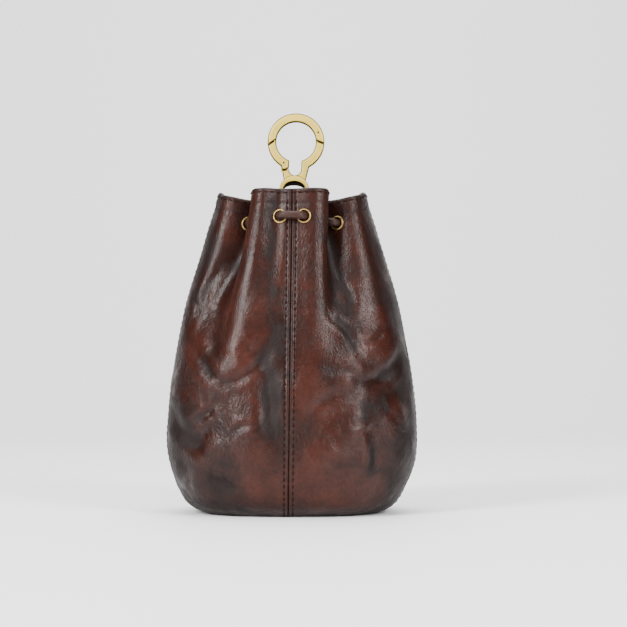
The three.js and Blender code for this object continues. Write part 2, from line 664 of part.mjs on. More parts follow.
function claspParts() {
  const deep = 12;
  const blank = claspBlank();
  const pinHole = pinDiameter / 2 + fitGap;
  const slotDepth = tongueThickness + 2 * fitGap;
  const middleX = gatePin.x + gateHub;
  const gateRegion = polygonSlab(
    [
      [leftJoint.innerX, leftJoint.innerZ - fitGap / 2],
      [leftJoint.outerX, leftJoint.outerZ - fitGap / 2],
      [leftJoint.outerX, gatePin.z],
      [middleX, gatePin.z],
      [middleX, leftJoint.innerZ - fitGap / 2],
    ],
    deep,
  ).add(diskSlab(gatePin.x, gatePin.z, gateHub, deep));
  const gateRoom = polygonSlab(
    [
      [leftJoint.innerX, leftJoint.innerZ + fitGap / 2],
      [leftJoint.outerX, leftJoint.outerZ + fitGap / 2],
      [leftJoint.outerX, gatePin.z],
      [middleX + fitGap, gatePin.z],
      [middleX + fitGap, leftJoint.innerZ + fitGap / 2],
    ],
    deep,
  ).add(diskSlab(gatePin.x, gatePin.z, gateHub + fitGap, deep));
  const tongueHub = 2.1;
  const gateTongue = polygonSlab(
    [
      [gatePin.x - tongueHub * 0.8, gatePin.z],
      [gatePin.x + tongueHub * 0.8, gatePin.z],
      [gatePin.x + tongueHub * 0.8, gatePin.z - 4.2],
      [gatePin.x - tongueHub * 0.2, gatePin.z - 4.2],
    ],
    tongueThickness,
  ).add(diskSlab(gatePin.x, gatePin.z, tongueHub, tongueThickness));
  const gateFork = diskSlab(gatePin.x, gatePin.z, gateHub + 1, slotDepth);
  const bowRegion = polygonSlab(
    [
      [leftJoint.outerX, leftJoint.outerZ + fitGap / 2],
      [leftJoint.innerX, leftJoint.innerZ + fitGap / 2],
      [rightJoint.innerX, rightJoint.innerZ + fitGap / 2],
      [rightJoint.outerX, rightJoint.outerZ + fitGap / 2],
      [rightJoint.outerX, rightJoint.outerZ + 30],
      [leftJoint.outerX, leftJoint.outerZ + 30],
    ],
    deep,
  );
  const bandSlab = (near, far, from, to, depth) =>
    slabOf(
      new THREE.Shape([
        ...arcPoints(0, ringRise, far, from, to, 6),
        ...arcPoints(0, ringRise, near, to, from, 6),
      ]),
      depth,
      0,
    );
  const tongueEnd = 36; // degrees round the ring
  const endGap = THREE.MathUtils.radToDeg(fitGap / ringRadius) * 1.2;
  const bowTongue = bandSlab(boreRadius + 0.3, ringRadius - 0.3, -14, tongueEnd, tongueThickness);
  const bowFork = bandSlab(boreRadius - 1, ringRadius + 1, -14, tongueEnd + endGap, slotDepth);
  const gateHole = diskSlab(gatePin.x, gatePin.z, pinHole, deep);
  const bowHole = diskSlab(bowPin.x, bowPin.z, pinHole, deep);
  const lower = blank.subtract(gateRoom).intersect(
    polygonSlab(
      [
        [-20, -20],
        [20, -20],
        [20, 21.5],
        [rightJoint.outerX, rightJoint.outerZ - fitGap / 2],
        [rightJoint.innerX, rightJoint.innerZ - fitGap / 2],
        [middleX + fitGap, gatePin.z + 6],
        [-20, gatePin.z + 6],
      ],
      deep,
    ),
  );
  const kept = lower.decompose().sort((a, b) => b.volume() - a.volume())[0];
  const frame = kept.add(gateTongue).add(bowTongue).subtract(gateHole).subtract(bowHole);
  const gate = blank.intersect(gateRegion).subtract(gateFork).subtract(gateHole);
  const bow = blank.intersect(bowRegion).subtract(bowFork).subtract(bowHole);
  const pinOf = (pin) => diskSlab(pin.x, pin.z, pinDiameter / 2, claspDepth - 0.1);
  return [
    { name: "clasp_frame", solid: frame },
    { name: "clasp_bow", solid: bow },
    { name: "clasp_gate", solid: gate },
    { name: "gate_pin", solid: pinOf(gatePin) },
    { name: "bow_pin", solid: pinOf(bowPin) },
  ];
}

for (const { name, solid } of claspParts()) {
  const mesh = meshOf(name, geometryOf(solid), name.endsWith("_pin") ? darkBrass : brass);
  mesh.rotation.y = radians(claspTilt);
  mesh.position.set(claspShift, claspPlane, eyeMiddle);
  pouch.add(mesh);
}

export default pouch;
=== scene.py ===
import math

import bmesh
import bpy
import numpy as np
from mathutils import Matrix, Vector, noise


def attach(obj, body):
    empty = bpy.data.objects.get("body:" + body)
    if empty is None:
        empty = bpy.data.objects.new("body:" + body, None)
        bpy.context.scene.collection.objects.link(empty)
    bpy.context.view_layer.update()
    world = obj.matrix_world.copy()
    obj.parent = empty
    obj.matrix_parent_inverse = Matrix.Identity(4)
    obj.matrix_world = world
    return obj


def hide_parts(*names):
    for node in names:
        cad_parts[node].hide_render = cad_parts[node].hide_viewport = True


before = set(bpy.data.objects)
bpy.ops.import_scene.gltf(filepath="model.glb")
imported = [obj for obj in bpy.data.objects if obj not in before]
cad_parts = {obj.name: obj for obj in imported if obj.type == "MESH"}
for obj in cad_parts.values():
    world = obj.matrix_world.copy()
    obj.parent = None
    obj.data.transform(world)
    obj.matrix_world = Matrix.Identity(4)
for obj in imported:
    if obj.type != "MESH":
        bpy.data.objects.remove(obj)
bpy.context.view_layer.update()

MM = 0.001

# ---------------- the pouch's named sizes, in millimetres
POUCH_HEIGHT = 150
POUCH_WIDTH = 118
POUCH_DEPTH = 86
LEATHER = 1.6
HEM = 2.8
HEM_HEIGHT = 7
FIT_GAP = 0.3
SEAM_OFFSET = 0.015  # from each panel's edge to the seam's middle
SEAM_SHIFT_TOP = 0.2
SEAM_SHIFT_BASE = -1.4
EYELET_DROP = 13
EYELET_BORE = 4.5
EYELET_BARREL = 5.2
EYELET_FLANGE = 6.8
FLANGE_THICKNESS = 0.6
CORD = 3.6
END_DROP = 62
END_BEND = 7.5
KNOT_LENGTH = 10
KNOT_DIAMETER = 8
TAB_WIDTH = 7
TAB_THICKNESS = 1.4
TAB_LEG = 10.5
RING_OUTER = 27.6
RING_INNER = 19.3
CLASP_DEPTH = 4.4
# the clasp's side walls and bevels get painted shade
EDGE_SHADE_REACH = 4  # how far the dark of the clasp's edges reaches
CLASP_TILT = 2
CLASP_SHIFT = 0.7
SOFT = 0.75  # the radius of the clasp's rounded edges
RING_RISE = 23.7
SLOT_WIDTH = 6
WAIST_WIDTH = 13.6
SHOULDER_WIDTH = 10.6
EYE_OUTER = 14.5
EYE_SIDE = 1.75
EYE_CROWN = 2.9
EYE_BAR = 2.2
EYE_DEPTH = 6.2
BAR_DEPTH = 2.8
PIN_DIAMETER = 1.2
TONGUE = 1.4
GATE_HUB = 3.3

# height, half width, half depth as shares of the pouch's own, and the outline's exponent
SECTIONS = np.array([
    (0, 0.64, 0.62, 2.5), (0.007, 0.735, 0.72, 2.45), (0.03, 0.827, 0.825, 2.4), (0.075, 0.902, 0.905, 2.35),
    (0.135, 0.967, 0.965, 2.3), (0.205, 1, 1, 2.3), (0.29, 0.994, 1, 2.3), (0.38, 0.97, 0.98, 2.25),
    (0.47, 0.935, 0.945, 2.2), (0.56, 0.897, 0.905, 2.2), (0.65, 0.847, 0.86, 2.15), (0.74, 0.778, 0.815, 2.1),
    (0.82, 0.716, 0.775, 2.05), (0.89, 0.665, 0.75, 2), (0.945, 0.621, 0.738, 2), (1, 0.59, 0.74, 2)])
LAST_ROW = len(SECTIONS) - 1
HEIGHT, WIDTH, DEPTH, CORNER = range(4)

# angle, foot, ends, depth, spread, lean, dip, dip spread, dip shift, before, after
VALLEYS = [
    (-1.8, 0, 0.3, 0.1, 24, 0, 0.002, 20, 0, 8.8, 12.6),
    (-14, -24, 0.42, 0.07, 12, 0, 0, 12, 0, 0, 0),
    (46, 33, 0.44, 0.42, 24, 7, 0.03, 28, 6, 9, 9.5),
    (134, 128, 0.42, 0.4, 24, 6, 0.04, 28, 0, 14, 13),
    (180, 178, 0.45, 0.13, 32, 0, 0.028, 44, 0, 15.5, 15.5),
    (226, 230, 0.4, 0.4, 24, 6, 0.04, 28, 0, 13, 14),
    (311, 300, 0.42, 0.42, 24, 7, 0.03, 28, -6, 9.5, 9)]

# angle, height, depth in wall thicknesses, half length and half width as shares of the height, tilt
DENTS = [
    (-50, 0.27, 1.7, 0.15, 0.06, 35), (-42, 0.43, -1.2, 0.12, 0.07, 20), (-16, 0.37, 1, 0.2, 0.055, -8),
    (-55, 0.58, 1.3, 0.13, 0.05, -35), (52, 0.2, 1.6, 0.13, 0.04, -8), (38, 0.5, -1.5, 0.1, 0.07, -30),
    (55, 0.42, 1.4, 0.18, 0.05, -48), (24, 0.3, 0.8, 0.14, 0.08, 60), (132, 0.36, 1.5, 0.16, 0.06, 40),
    (160, 0.24, 1.1, 0.12, 0.06, -30), (214, 0.42, 1.5, 0.17, 0.06, -42), (236, 0.22, 1.3, 0.13, 0.06, 25)]


# ---------------- the skin of the bag
def wrap(a):
    return (np.asarray(a) + 180) % 360 - 180


def smooth(t):
    c = np.clip(t, 0, 1)
    return c * c * (3 - 2 * c)


def bell(u):
    return np.where(np.abs(u) < 1, (1 - u * u) ** 2, 0)


def section_value(row, column):
    row = np.asarray(row, float)
    i = np.minimum(np.floor(row).astype(int), LAST_ROW - 1)
    i = np.maximum(i, 0)
    t = row - i
    at = lambda k: SECTIONS[np.clip(k, 0, LAST_ROW), column]
    a, b, c, d = at(i - 1), at(i), at(i + 1), at(i + 2)
    return b + 0.5 * t * (c - a + t * (2 * a - 5 * b + 4 * c - d + t * (3 * (b - c) + d - a)))


def halve(low, high, steps, too_low):
    """The last bounds of a search by halves."""
    for _ in range(steps):
        middle = (low + high) / 2
        if too_low(middle):
            low = middle
        else:
            high = middle
    return low, high


def row_at_height(share):
    return sum(halve(0, LAST_ROW, 40, lambda row: section_value(row, HEIGHT) < share)) / 2


def row_below_rim(distance):
    return row_at_height(1 - distance / POUCH_HEIGHT)


def skin_point(around, row):
    """The smooth outer skin, in millimetres, at angles from the front and fractional rows."""
    around, row = np.broadcast_arrays(np.asarray(around, float), np.asarray(row, float))
    share = section_value(row, HEIGHT)
    half_width = section_value(row, WIDTH) * POUCH_WIDTH / 2
    half_depth = section_value(row, DEPTH) * POUCH_DEPTH / 2
    corner = section_value(row, CORNER)
    angle = around.copy()
    cut = np.zeros_like(angle)
    dip = np.zeros_like(angle)
    for a, foot, ends, depth, spread, lean, rim_dip, dip_spread, dip_shift, *_ in VALLEYS:
        rise = smooth((share - ends) / (1 - ends))
        middle = foot + (a - foot) * np.clip((share - ends) / (1 - ends), 0, 1)
        u = wrap(around - middle) / spread
        cut += depth * rise * bell(u)
        dip += rim_dip * smooth((share - 0.8) / 0.2) * bell(wrap(around - middle - dip_shift) / dip_spread)
        angle -= np.where(np.abs(u) < 1, 4 * lean * rise * u * np.abs(u) * (1 - u * u), 0)
    a = np.radians(angle)
    outline = (np.abs(np.sin(a) / half_width) ** corner + np.abs(np.cos(a) / half_depth) ** corner) ** (-1 / corner)
    radius = outline * (1 - cut)
    for at, height, depth, long, wide, tilt in DENTS:
        across = np.radians(wrap(around - at)) * outline
        up = (share - height) * POUCH_HEIGHT
        t = math.radians(tilt)
        along = (up * math.cos(t) + across * math.sin(t)) / (long * POUCH_HEIGHT)
        beside = (across * math.cos(t) - up * math.sin(t)) / (wide * POUCH_HEIGHT)
        radius = radius - depth * LEATHER * np.exp(-along * along - beside * beside)
    facing = np.maximum(0, np.cos(a)) ** 2
    shift = SEAM_SHIFT_BASE + (SEAM_SHIFT_TOP - SEAM_SHIFT_BASE) * share
    return np.stack([radius * np.sin(a) + shift * facing, -radius * np.cos(a), (share - dip) * POUCH_HEIGHT], -1)


def unit(v):
    return v / np.maximum(np.linalg.norm(v, axis=-1, keepdims=True), 1e-12)


def skin_normal(around, row):
    row = np.asarray(row, float)
    right = skin_point(around + 0.4, row) - skin_point(around - 0.4, row)
    up = skin_point(around, np.minimum(row + 0.04, LAST_ROW)) - skin_point(around, np.maximum(row - 0.04, 0))
    return unit(np.cross(right, up))


def off_skin(around, row, out):
    return skin_point(around, row) + skin_normal(around, row) * out


# ---------------- small helpers
def linked(name, data):
    """A new object with this data, in the scene."""
    obj = bpy.data.objects.new(name, data)
    bpy.context.scene.collection.objects.link(obj)
    return obj


def mesh_object(name, verts, faces):
    mesh = bpy.data.meshes.new(name)
    mesh.from_pydata([tuple(v) for v in verts], [], faces)
    mesh.validate()
    mesh.shade_smooth()
    return linked(name, mesh)


def clean(mesh, merge=None, dissolve=None):
    """Merges points closer than merge, drops faces smaller than dissolve and turns all faces outwards."""
    bm = bmesh.new()
    bm.from_mesh(mesh)
    if merge:
        bmesh.ops.remove_doubles(bm, verts=bm.verts, dist=merge)
    if dissolve:
        bmesh.ops.dissolve_degenerate(bm, edges=bm.edges, dist=dissolve)
    bmesh.ops.recalc_face_normals(bm, faces=bm.faces)
    bm.to_mesh(mesh)
    bm.free()


def add_patina_and_shade(mesh, values):
    mesh.attributes.new("patina_and_shade", "FLOAT", "POINT").data.foreach_set("value", values)


def grid_faces(rows, columns, round_rows=False, round_columns=False):
    """The quads of a grid of points; a round direction also joins its last points to its first."""
    faces = []
    for i in range(rows if round_rows else rows - 1):
        low, high = i * columns, (i + 1) % rows * columns
        for k in range(columns if round_columns else columns - 1):
            j = (k + 1) % columns
            faces.append((low + k, low + j, high + j, high + k))
    return faces


def run_of(points):
    """The distance along the points from the first to each."""
    return np.concatenate([[0], np.cumsum(np.linalg.norm(np.diff(points, axis=0), axis=1))])


def tube(points, radius, sides):
    """Vertices and faces of a closed round tube through points, all in one unit; radius may be a list."""
    points = np.asarray(points, float)
    n = len(points)
    tangent = unit(np.gradient(points, axis=0))
    radii = np.broadcast_to(radius, n)
    side = np.cross(tangent[0], (0, 0, 1))
    if np.linalg.norm(side) < 0.1:
        side = np.cross(tangent[0], (1, 0, 0))
    side = unit(side)
    verts, faces = [], grid_faces(n, sides, round_columns=True)
    ring_angles = np.linspace(0, 2 * math.pi, sides, endpoint=False)
    for i in range(n):
        side = unit(side - tangent[i] * np.dot(side, tangent[i]))
        other = np.cross(tangent[i], side)
        for a in ring_angles:
            verts.append(points[i] + radii[i] * (math.cos(a) * side + math.sin(a) * other))
    verts += [points[0], points[-1]]
    first, last = n * sides, n * sides + 1
    for k in range(sides):
        faces.append((first, (k + 1) % sides, k))
        faces.append((last, (n - 1) * sides + k, (n - 1) * sides + (k + 1) % sides))
    return verts, faces


def between(p, q, start, stop, t):
    return p * ((stop - t) / (stop - start)) + q * ((t - start) / (stop - start))


def smooth_path(points, step):
    """A centripetal curve through the points, sampled about every step."""
    pts = [Vector(p) for p in points]
    pts = [pts[0] * 2 - pts[1]] + pts + [pts[-1] * 2 - pts[-2]]
    out = []
    for i in range(1, len(pts) - 2):
        four, times = pts[i - 1:i + 3], [0]
        for p, q in zip(four, four[1:]):
            times.append(times[-1] + max((q - p).length, 1e-6) ** 0.5)
        t0, t1, t2, t3 = times
        count = max(2, int((four[2] - four[1]).length / step))
        for k in range(count):
            t = t1 + (t2 - t1) * k / count
            a1, a2, a3 = [between(*four[j:j + 2], *times[j:j + 2], t) for j in range(3)]
            out.append(between(between(a1, a2, t0, t2, t), between(a2, a3, t1, t3, t), t1, t2, t))
    out.append(pts[-2])
    return np.array([tuple(p) for p in out])


# ---------------- camera
MM_PER_PIXEL = 0.4714  # at the pouch's axis
PIXELS = 627
DISTANCE = 0.85
AXIS_PIXEL = 292.24
HORIZON_PIXEL = 348
CAMERA_HEIGHT = 0.0768
camera_data = bpy.data.cameras.new("camera")
camera_data.sensor_width = 36
camera_data.lens = 36 * DISTANCE / (PIXELS * MM_PER_PIXEL * MM)
camera_data.clip_start = 0.01
camera = linked("camera", camera_data)
camera_x = (PIXELS / 2 - AXIS_PIXEL) * MM_PER_PIXEL * MM
pitch = math.atan((HORIZON_PIXEL - PIXELS / 2) * MM_PER_PIXEL * MM / DISTANCE)
camera.location = (camera_x, -DISTANCE, CAMERA_HEIGHT)
camera.rotation_euler = (math.pi / 2 + pitch, 0, 0)
bpy.context.scene.camera = camera

# ---------------- eyelets' places and the cord's routes
OUTER_SEAT = FIT_GAP - 0.1
INNER_SEAT = -LEATHER - OUTER_SEAT
OUTER_LIP = OUTER_SEAT + FLANGE_THICKNESS
INNER_LIP = INNER_SEAT - FLANGE_THICKNESS
EYELET_ROW = row_below_rim(EYELET_DROP)
eyelet_angles = []
for v in VALLEYS:
    if v[-2] > 0:
        eyelet_angles += [v[0] - v[-2], v[0] + v[-1]]
# middle and normal of each, in the CAD's order, which goes round from the back
EYELETS = [(skin_point(a, EYELET_ROW), skin_normal(a, EYELET_ROW))
           for a in sorted(eyelet_angles, key=lambda a: (a + 180) % 360)]


def lip_turn(eyelet, toward, outside):
    middle, normal = eyelet
    lip = EYELET_BORE / 2
    bend = CORD / 2 + 0.35
    away = normal * (1 if outside else -1)
    height = OUTER_LIP if outside else -INNER_LIP
    heading = unit(toward - middle)
    turn = math.acos(min(1, max(0, float(np.dot(heading, away)))))
    across = unit(heading - away * np.dot(heading, away))
    lift = 0.6 * (turn / (math.pi / 2)) ** 2
    out = []
    for share in (0, 0.5, 1):
        along = (lip - bend) * (1 if share > 0 else 0.5) + bend * (1 - math.cos(turn * share))
        rise = height + bend * math.sin(turn * share) + lift * share
        out.append(middle + across * along + away * rise)
    return out


def drawstring_route():
    points = []
    for i, eyelet in enumerate(EYELETS):
        goes_out = i % 2 == 1
        lip_point = eyelet[0] + eyelet[1] * OUTER_LIP
        if i > 0:
            points += lip_turn(eyelet, EYELETS[i - 1][0], not goes_out)[::-1]
        else:
            points.append(lip_point)
        if i + 1 < len(EYELETS):
            points += lip_turn(eyelet, EYELETS[i + 1][0], goes_out)
        else:
            points.append(lip_point)
    return points


def back_skin(x, z, reach):
    """How far back the skin's rear reaches at x, over heights within reach of z."""
    farthest = 0
    for level in (z - reach, z - reach / 2, z, z + reach / 2, z + reach):
        row = row_at_height(level / POUCH_HEIGHT)
        around = halve(110, 250, 30, lambda angle: skin_point(angle, row)[0] > x)[0]
        farthest = max(farthest, float(skin_point(around, row)[1]))
    return farthest


def end_route(eyelet):
    middle, normal = eyelet
    start = middle + normal * (OUTER_LIP + FIT_GAP)
    straight = start + normal * 0.6
    points = [start, straight]
    for k in range(1, 6):
        a = k * math.pi / 10
        down = np.array((0, 0, -END_BEND * (1 - math.cos(a))))
        points.append(straight + normal * END_BEND * math.sin(a) + down)
    foot = points[-1]
    drop = END_DROP - END_BEND
    clear = CORD / 2 + 0.5
    for k in range(1, 9):
        z = foot[2] - drop * k / 8
        resting = back_skin(foot[0], z, 4) + clear
        points.append(np.array((foot[0], max(resting, foot[1]), z)))
    return points


def knot_path():
    """A barrel knot about the cord's end: three turns going down, then a short tail, from the origin."""
    turns, radius, top, pitch_down = 2.75, KNOT_DIAMETER / 2 - CORD * 0.46, -1.6, 2.45
    points = [(0, 0, 0), (radius * 0.35, 0, -0.7)]
    steps = 34
    for k in range(steps + 1):
        a = 2 * math.pi * turns * k / steps
        points.append((radius * math.cos(a), radius * math.sin(a), top - pitch_down * turns * k / steps))
    a = 2 * math.pi * turns
    low = top - pitch_down * turns
    points.append((radius * 0.5 * math.cos(a + 0.7), radius * 0.5 * math.sin(a + 0.7), low - 0.7))
    points.append((0, 0, low - 1.4))
    return np.array(points)


cords = []
for side, eyelet in (("left", EYELETS[0]), ("right", EYELETS[-1])):
    route = end_route(eyelet)
    path = smooth_path([p * MM for p in route], 0.0012)
    verts, faces = tube(path, CORD / 2 * MM, 18)
    cord = mesh_object("cord_end_" + side, verts, faces)
    foot = route[-1]
    rest = back_skin(foot[0], foot[2] - KNOT_LENGTH / 2, KNOT_LENGTH) + KNOT_DIAMETER / 2 + 0.5
    place = np.array((foot[0], max(foot[1], rest), foot[2] + 0.3))
    knot_points = smooth_path((knot_path() + place), 0.5) * MM
    verts, faces = tube(knot_points, CORD * 0.47 * MM, 14)
    knot = mesh_object("cord_knot_" + side, verts, faces)
    cords += [cord, knot]
    for piece in (cord, knot):
        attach(piece, "pouch")
    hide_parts("drawstring_end_" + side)
    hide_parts("end_knot_" + side)


# ---------------- materials
def principled(name, **values):
    material = bpy.data.materials.new(name)
    material.use_nodes = True
    tree = material.node_tree
    shader = tree.nodes["Principled BSDF"]
    for key, value in values.items():
        shader.inputs[key].default_value = value
    return material, tree, shader


def put(made, key, value):
    """Links a node's input to a socket, or sets it to a value."""
    if isinstance(value, bpy.types.NodeSocket):
        made.id_data.links.new(value, made.inputs[key])
    else:
        made.inputs[key].default_value = value


def node(tree, kind, inputs=None, **settings):
    made = tree.nodes.new(kind)
    for key, value in settings.items():
        setattr(made, key, value)
    for key, value in (inputs or {}).items():
        put(made, key, value)
    return made


def tree_of(*values):
    return next(value.id_data for value in values if isinstance(value, bpy.types.NodeSocket))


def ramp(source, *stops):
    """A ramp of greys between two stops, each a place and a value."""
    made = node(source.id_data, "ShaderNodeValToRGB", {"Fac": source})
    for element, (place, value) in zip(made.color_ramp.elements, stops):
        element.position = place
        element.color = (value, value, value, 1)
    return made.outputs["Color"]


def mix(factor, a, b):
    """A mix of two colours, by the numbers of the mix node's sockets."""
    inputs = {0: factor, 6: a, 7: b}
    for key in (6, 7):
        if isinstance(inputs[key], tuple):
            inputs[key] = (*inputs[key], 1)
    return node(tree_of(factor, a, b), "ShaderNodeMix", inputs, data_type="RGBA").outputs[2]


def maths(operation, a, b):
    return node(tree_of(a, b), "ShaderNodeMath", {0: a, 1: b}, operation=operation).outputs[0]


def add(a, b):
    return maths("ADD", a, b)


def sub(a, b):
    return maths("SUBTRACT", a, b)


def mul(a, b):
    return maths("MULTIPLY", a, b)


def noise_tex(vector, scale, detail=4, rough=0.55, distortion=0):
    return node(vector.id_data, "ShaderNodeTexNoise", {"Vector": vector, "Scale": scale, "Detail": detail,
                                                       "Roughness": rough, "Distortion": distortion}).outputs["Fac"]


def cell_edges(vector, scale):
    return node(vector.id_data, "ShaderNodeTexVoronoi", {"Vector": vector, "Scale": scale},
                feature="DISTANCE_TO_EDGE").outputs["Distance"]


def patina_and_shade_socket(tree):
    return node(tree, "ShaderNodeAttribute", attribute_name="patina_and_shade").outputs["Fac"]


def put_bump(shader, height, strength, distance):
    bump = node(shader.id_data, "ShaderNodeBump", {"Strength": strength, "Distance": distance, "Height": height})
    put(shader, "Normal", bump.outputs["Normal"])


DARK = (0.0058, 0.0016, 0.001)
BROWN = (0.0285, 0.0077, 0.0049)
RED = (0.04, 0.0102, 0.0061)


def leather_material(name, dark, brown, red, gloss=0.36, grain=0.8, patina_and_shade=False):
    material, tree, shader = principled(name, **{"Specular IOR Level": 0.19})
    place = node(tree, "ShaderNodeTexCoord").outputs["Object"]
    mottle = noise_tex(place, 30, 5, 0.6, 0.8)
    blotch = noise_tex(place, 85, 5, 0.65, 0.5)
    speck = noise_tex(place, 480, 4, 0.65)
    # the surface: pebbled grain, and patches of fine creases that cross each other
    warp = node(tree, "ShaderNodeTexNoise", {"Vector": place, "Scale": 70, "Detail": 4}).outputs["Color"]
    warped = node(tree, "ShaderNodeMix", {0: 0.014, 4: place, 5: warp}, data_type="VECTOR").outputs[1]
    pebble = ramp(cell_edges(warped, 820), (0, 0), (0.3, 1))
    stretched = node(tree, "ShaderNodeMapping", {"Vector": warped, "Scale": (1, 1, 0.42),
                                                 "Rotation": (0.3, 0.6, 0.2)}).outputs["Vector"]
    crease = ramp(cell_edges(stretched, 420), (0, 0), (0.2, 1))
    where = ramp(noise_tex(place, 42, 3), (0.46, 0.05), (0.66, 1))
    groove = mul(sub(1, crease), where)
    # the colour: brown to red, darker in blotches, by the patina_and_shade attribute (painted shade in hollows,
    # folds and at the sides, and dye strokes), in specks and in the grooves
    base = mix(ramp(mottle, (0.34, 0), (0.64, 1)), brown, red)
    base = mix(ramp(blotch, (0.46, 0), (0.78, 0.4)), base, dark)
    # the attribute darkens the dye: partly painted shade, partly dye
    if patina_and_shade:
        shade = add(patina_and_shade_socket(tree), mul(sub(blotch, 0.5), 0.95))
        base = mix(ramp(shade, (0, 0), (0.95, 1)), base, dark)
    base = mix(mul(ramp(speck, (0.42, 0), (0.72, 1)), 0.45), base, dark)
    put(shader, "Base Color", mix(mul(groove, 0.5), base, dark))
    height = add(sub(mul(pebble, 0.4), mul(groove, 0.9)), mul(blotch, 0.9))
    put_bump(shader, add(height, mul(speck, 0.8)), 0.36 * grain, 0.0003)
    rough = add(mul(ramp(blotch, (0.3, 0), (0.75, 1)), 0.12), gloss)
    rough = add(rough, mul(groove, 0.15))
    if patina_and_shade:
        rough = add(rough, ramp(shade, (0.65, 0), (1, 0.2)))
    put(shader, "Roughness", rough)
    return material


def brass_material(name, bright, tarnish, rough):
    """Brass with cloudy tarnish, dark and dull in its hollows and by the patina_and_shade attribute: tarnish on the
    eyelets, painted shade on the clasp's side walls and bevels.
    """
    material, tree, shader = principled(name, **{"Metallic": 1, "Specular IOR Level": 0.06})
    place = node(tree, "ShaderNodeTexCoord").outputs["Object"]
    cloud = noise_tex(place, 160, 4, 0.6)
    open_air = node(tree, "ShaderNodeAmbientOcclusion", {"Distance": 0.0022}, samples=6).outputs["AO"]
    # painted shade on walls and bevels that face away from front and back
    wall_shade = add(patina_and_shade_socket(tree), mul(sub(cloud, 0.5), 0.02))
    shade = maths("MAXIMUM", ramp(open_air, (0.25, 1), (0.85, 0)), ramp(wall_shade, (0.02, 0), (0.1, 1)))
    tint = mix(ramp(cloud, (0.4, 0), (0.75, 0.45)), bright, tarnish)
    put(shader, "Base Color", mix(shade, tint, tuple(0.05 * c for c in tarnish)))
    put(shader, "Roughness", add(add(mul(cloud, 0.12), rough - 0.06), mul(shade, 0.4)))
    put(shader, "Metallic", sub(1, mul(shade, 0.95)))
    put_bump(shader, noise_tex(place, 1400, 3, 0.6), 0.25, 0.00004)
    return material


bag_leather = leather_material("bag_leather", DARK, BROWN, RED, 0.27, 1, True)
strap_leather = leather_material("strap_leather", (0.004, 0.0015, 0.0012), (0.018, 0.006, 0.004),
                                 (0.028, 0.009, 0.006))
cord_leather = leather_material("cord_leather", (0.009, 0.0036, 0.0026), (0.026, 0.0105, 0.0078),
                                (0.038, 0.0145, 0.0105))
clasp_brass = brass_material("clasp_brass", (1, 0.76, 0.15), (0.74, 0.47, 0.08), 0.44)
eyelet_brass = brass_material("eyelet_brass", (0.4, 0.26, 0.09), (0.15, 0.085, 0.028), 0.32)
pin_brass = brass_material("pin_brass", (0.05, 0.03, 0.012), (0.02, 0.012, 0.006), 0.45)
# near-black brass for the painted shade sheet in the clasp's eye
painted_shade_brass = brass_material("painted_shade_brass", (0.012, 0.008, 0.005), (0.006, 0.004, 0.003), 0.6)

thread, thread_tree, thread_shader = principled("thread", **{"Roughness": 0.7, "Specular IOR Level": 0.1})
twist = node(thread_tree, "ShaderNodeTexWave", {"Scale": 900, "Distortion": 1}).outputs["Fac"]
put(thread_shader, "Base Color", mix(twist, (0.005, 0.0016, 0.0012), (0.017, 0.0048, 0.0034)))


def dress(obj, material, body="pouch"):
    """Gives a piece its material and, if a body is named, attaches it to that body."""
    obj.data.materials.clear()
    obj.data.materials.append(material)
    if body:
        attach(obj, body)


for piece in cords:
    dress(piece, cord_leather, body=None)

# ---------------- creases of the leather
# Each crease in the front or back view: its two ends as x and z in millimetres, depth, half width, bow.
FRONT_CREASES = [
    (20, 89, 28.5, 79, 1.3, 1.5, 0.1), (41.8, 85, 31.5, 79.5, 0.8, 1.2, 0.2),
    (50, 73.5, 31.5, 61.5, 1.4, 2.2, 0.15), (31.5, 61.5, 20.5, 66, 0.9, 2, -0.2),
    (36.2, 38, 34.8, 21, 1.1, 1.4, 0.1), (-46, 99.5, -46, 89.5, 0.7, 1.2, 0.3),
    (-43, 75.5, -30.5, 61, 1.2, 1.8, -0.1), (-30.5, 61, -12, 73, 1, 1.8, -0.1),
    (-12, 66, -11, 37, 1.3, 2.6, 0.05), (-35, 51.5, -43, 44.5, 1, 1.3, 0.1),
    (-40, 55, -36, 46, 0.7, 1, -0.1), (-27.5, 37, -17, 42, 0.8, 1.3, 0.15),
    (-56, 48.5, -44, 34, 1.3, 2.4, -0.1), (-24, 80, -18, 72, 0.9, 2.5, 0.1),
    (10, 48, 26, 55, 0.6, 1.8, 0.2), (14, 30, 30, 24, 0.6, 1.8, -0.2),
    (-40, 22, -20, 14, 0.8, 2.2, -0.15), (44, 48, 50, 30, 0.8, 1.8, 0.2),
    (22, 108, 26, 90, 0.9, 1.6, 0.15), (-34, 112, -40, 92, 0.8, 1.6, -0.12)]
BACK_CREASES = [
    (-34, 92, -22, 76, 1.2, 1.8, 0.12), (-22, 76, -8, 70, 0.9, 1.8, -0.15),
    (30, 96, 36, 74, 1.1, 1.6, 0.1), (38, 60, 20, 48, 1.2, 2.2, 0.15),
    (-44, 52, -34, 34, 1.2, 2, -0.15), (-30, 40, -14, 34, 0.8, 1.6, 0.2),
    (12, 34, 30, 26, 0.9, 1.8, -0.15), (46, 44, 42, 26, 0.9, 1.6, 0.1),
    (-20, 20, 4, 15, 0.7, 2, 0.15), (8, 64, 16, 56, 0.8, 1.6, 0.1)]


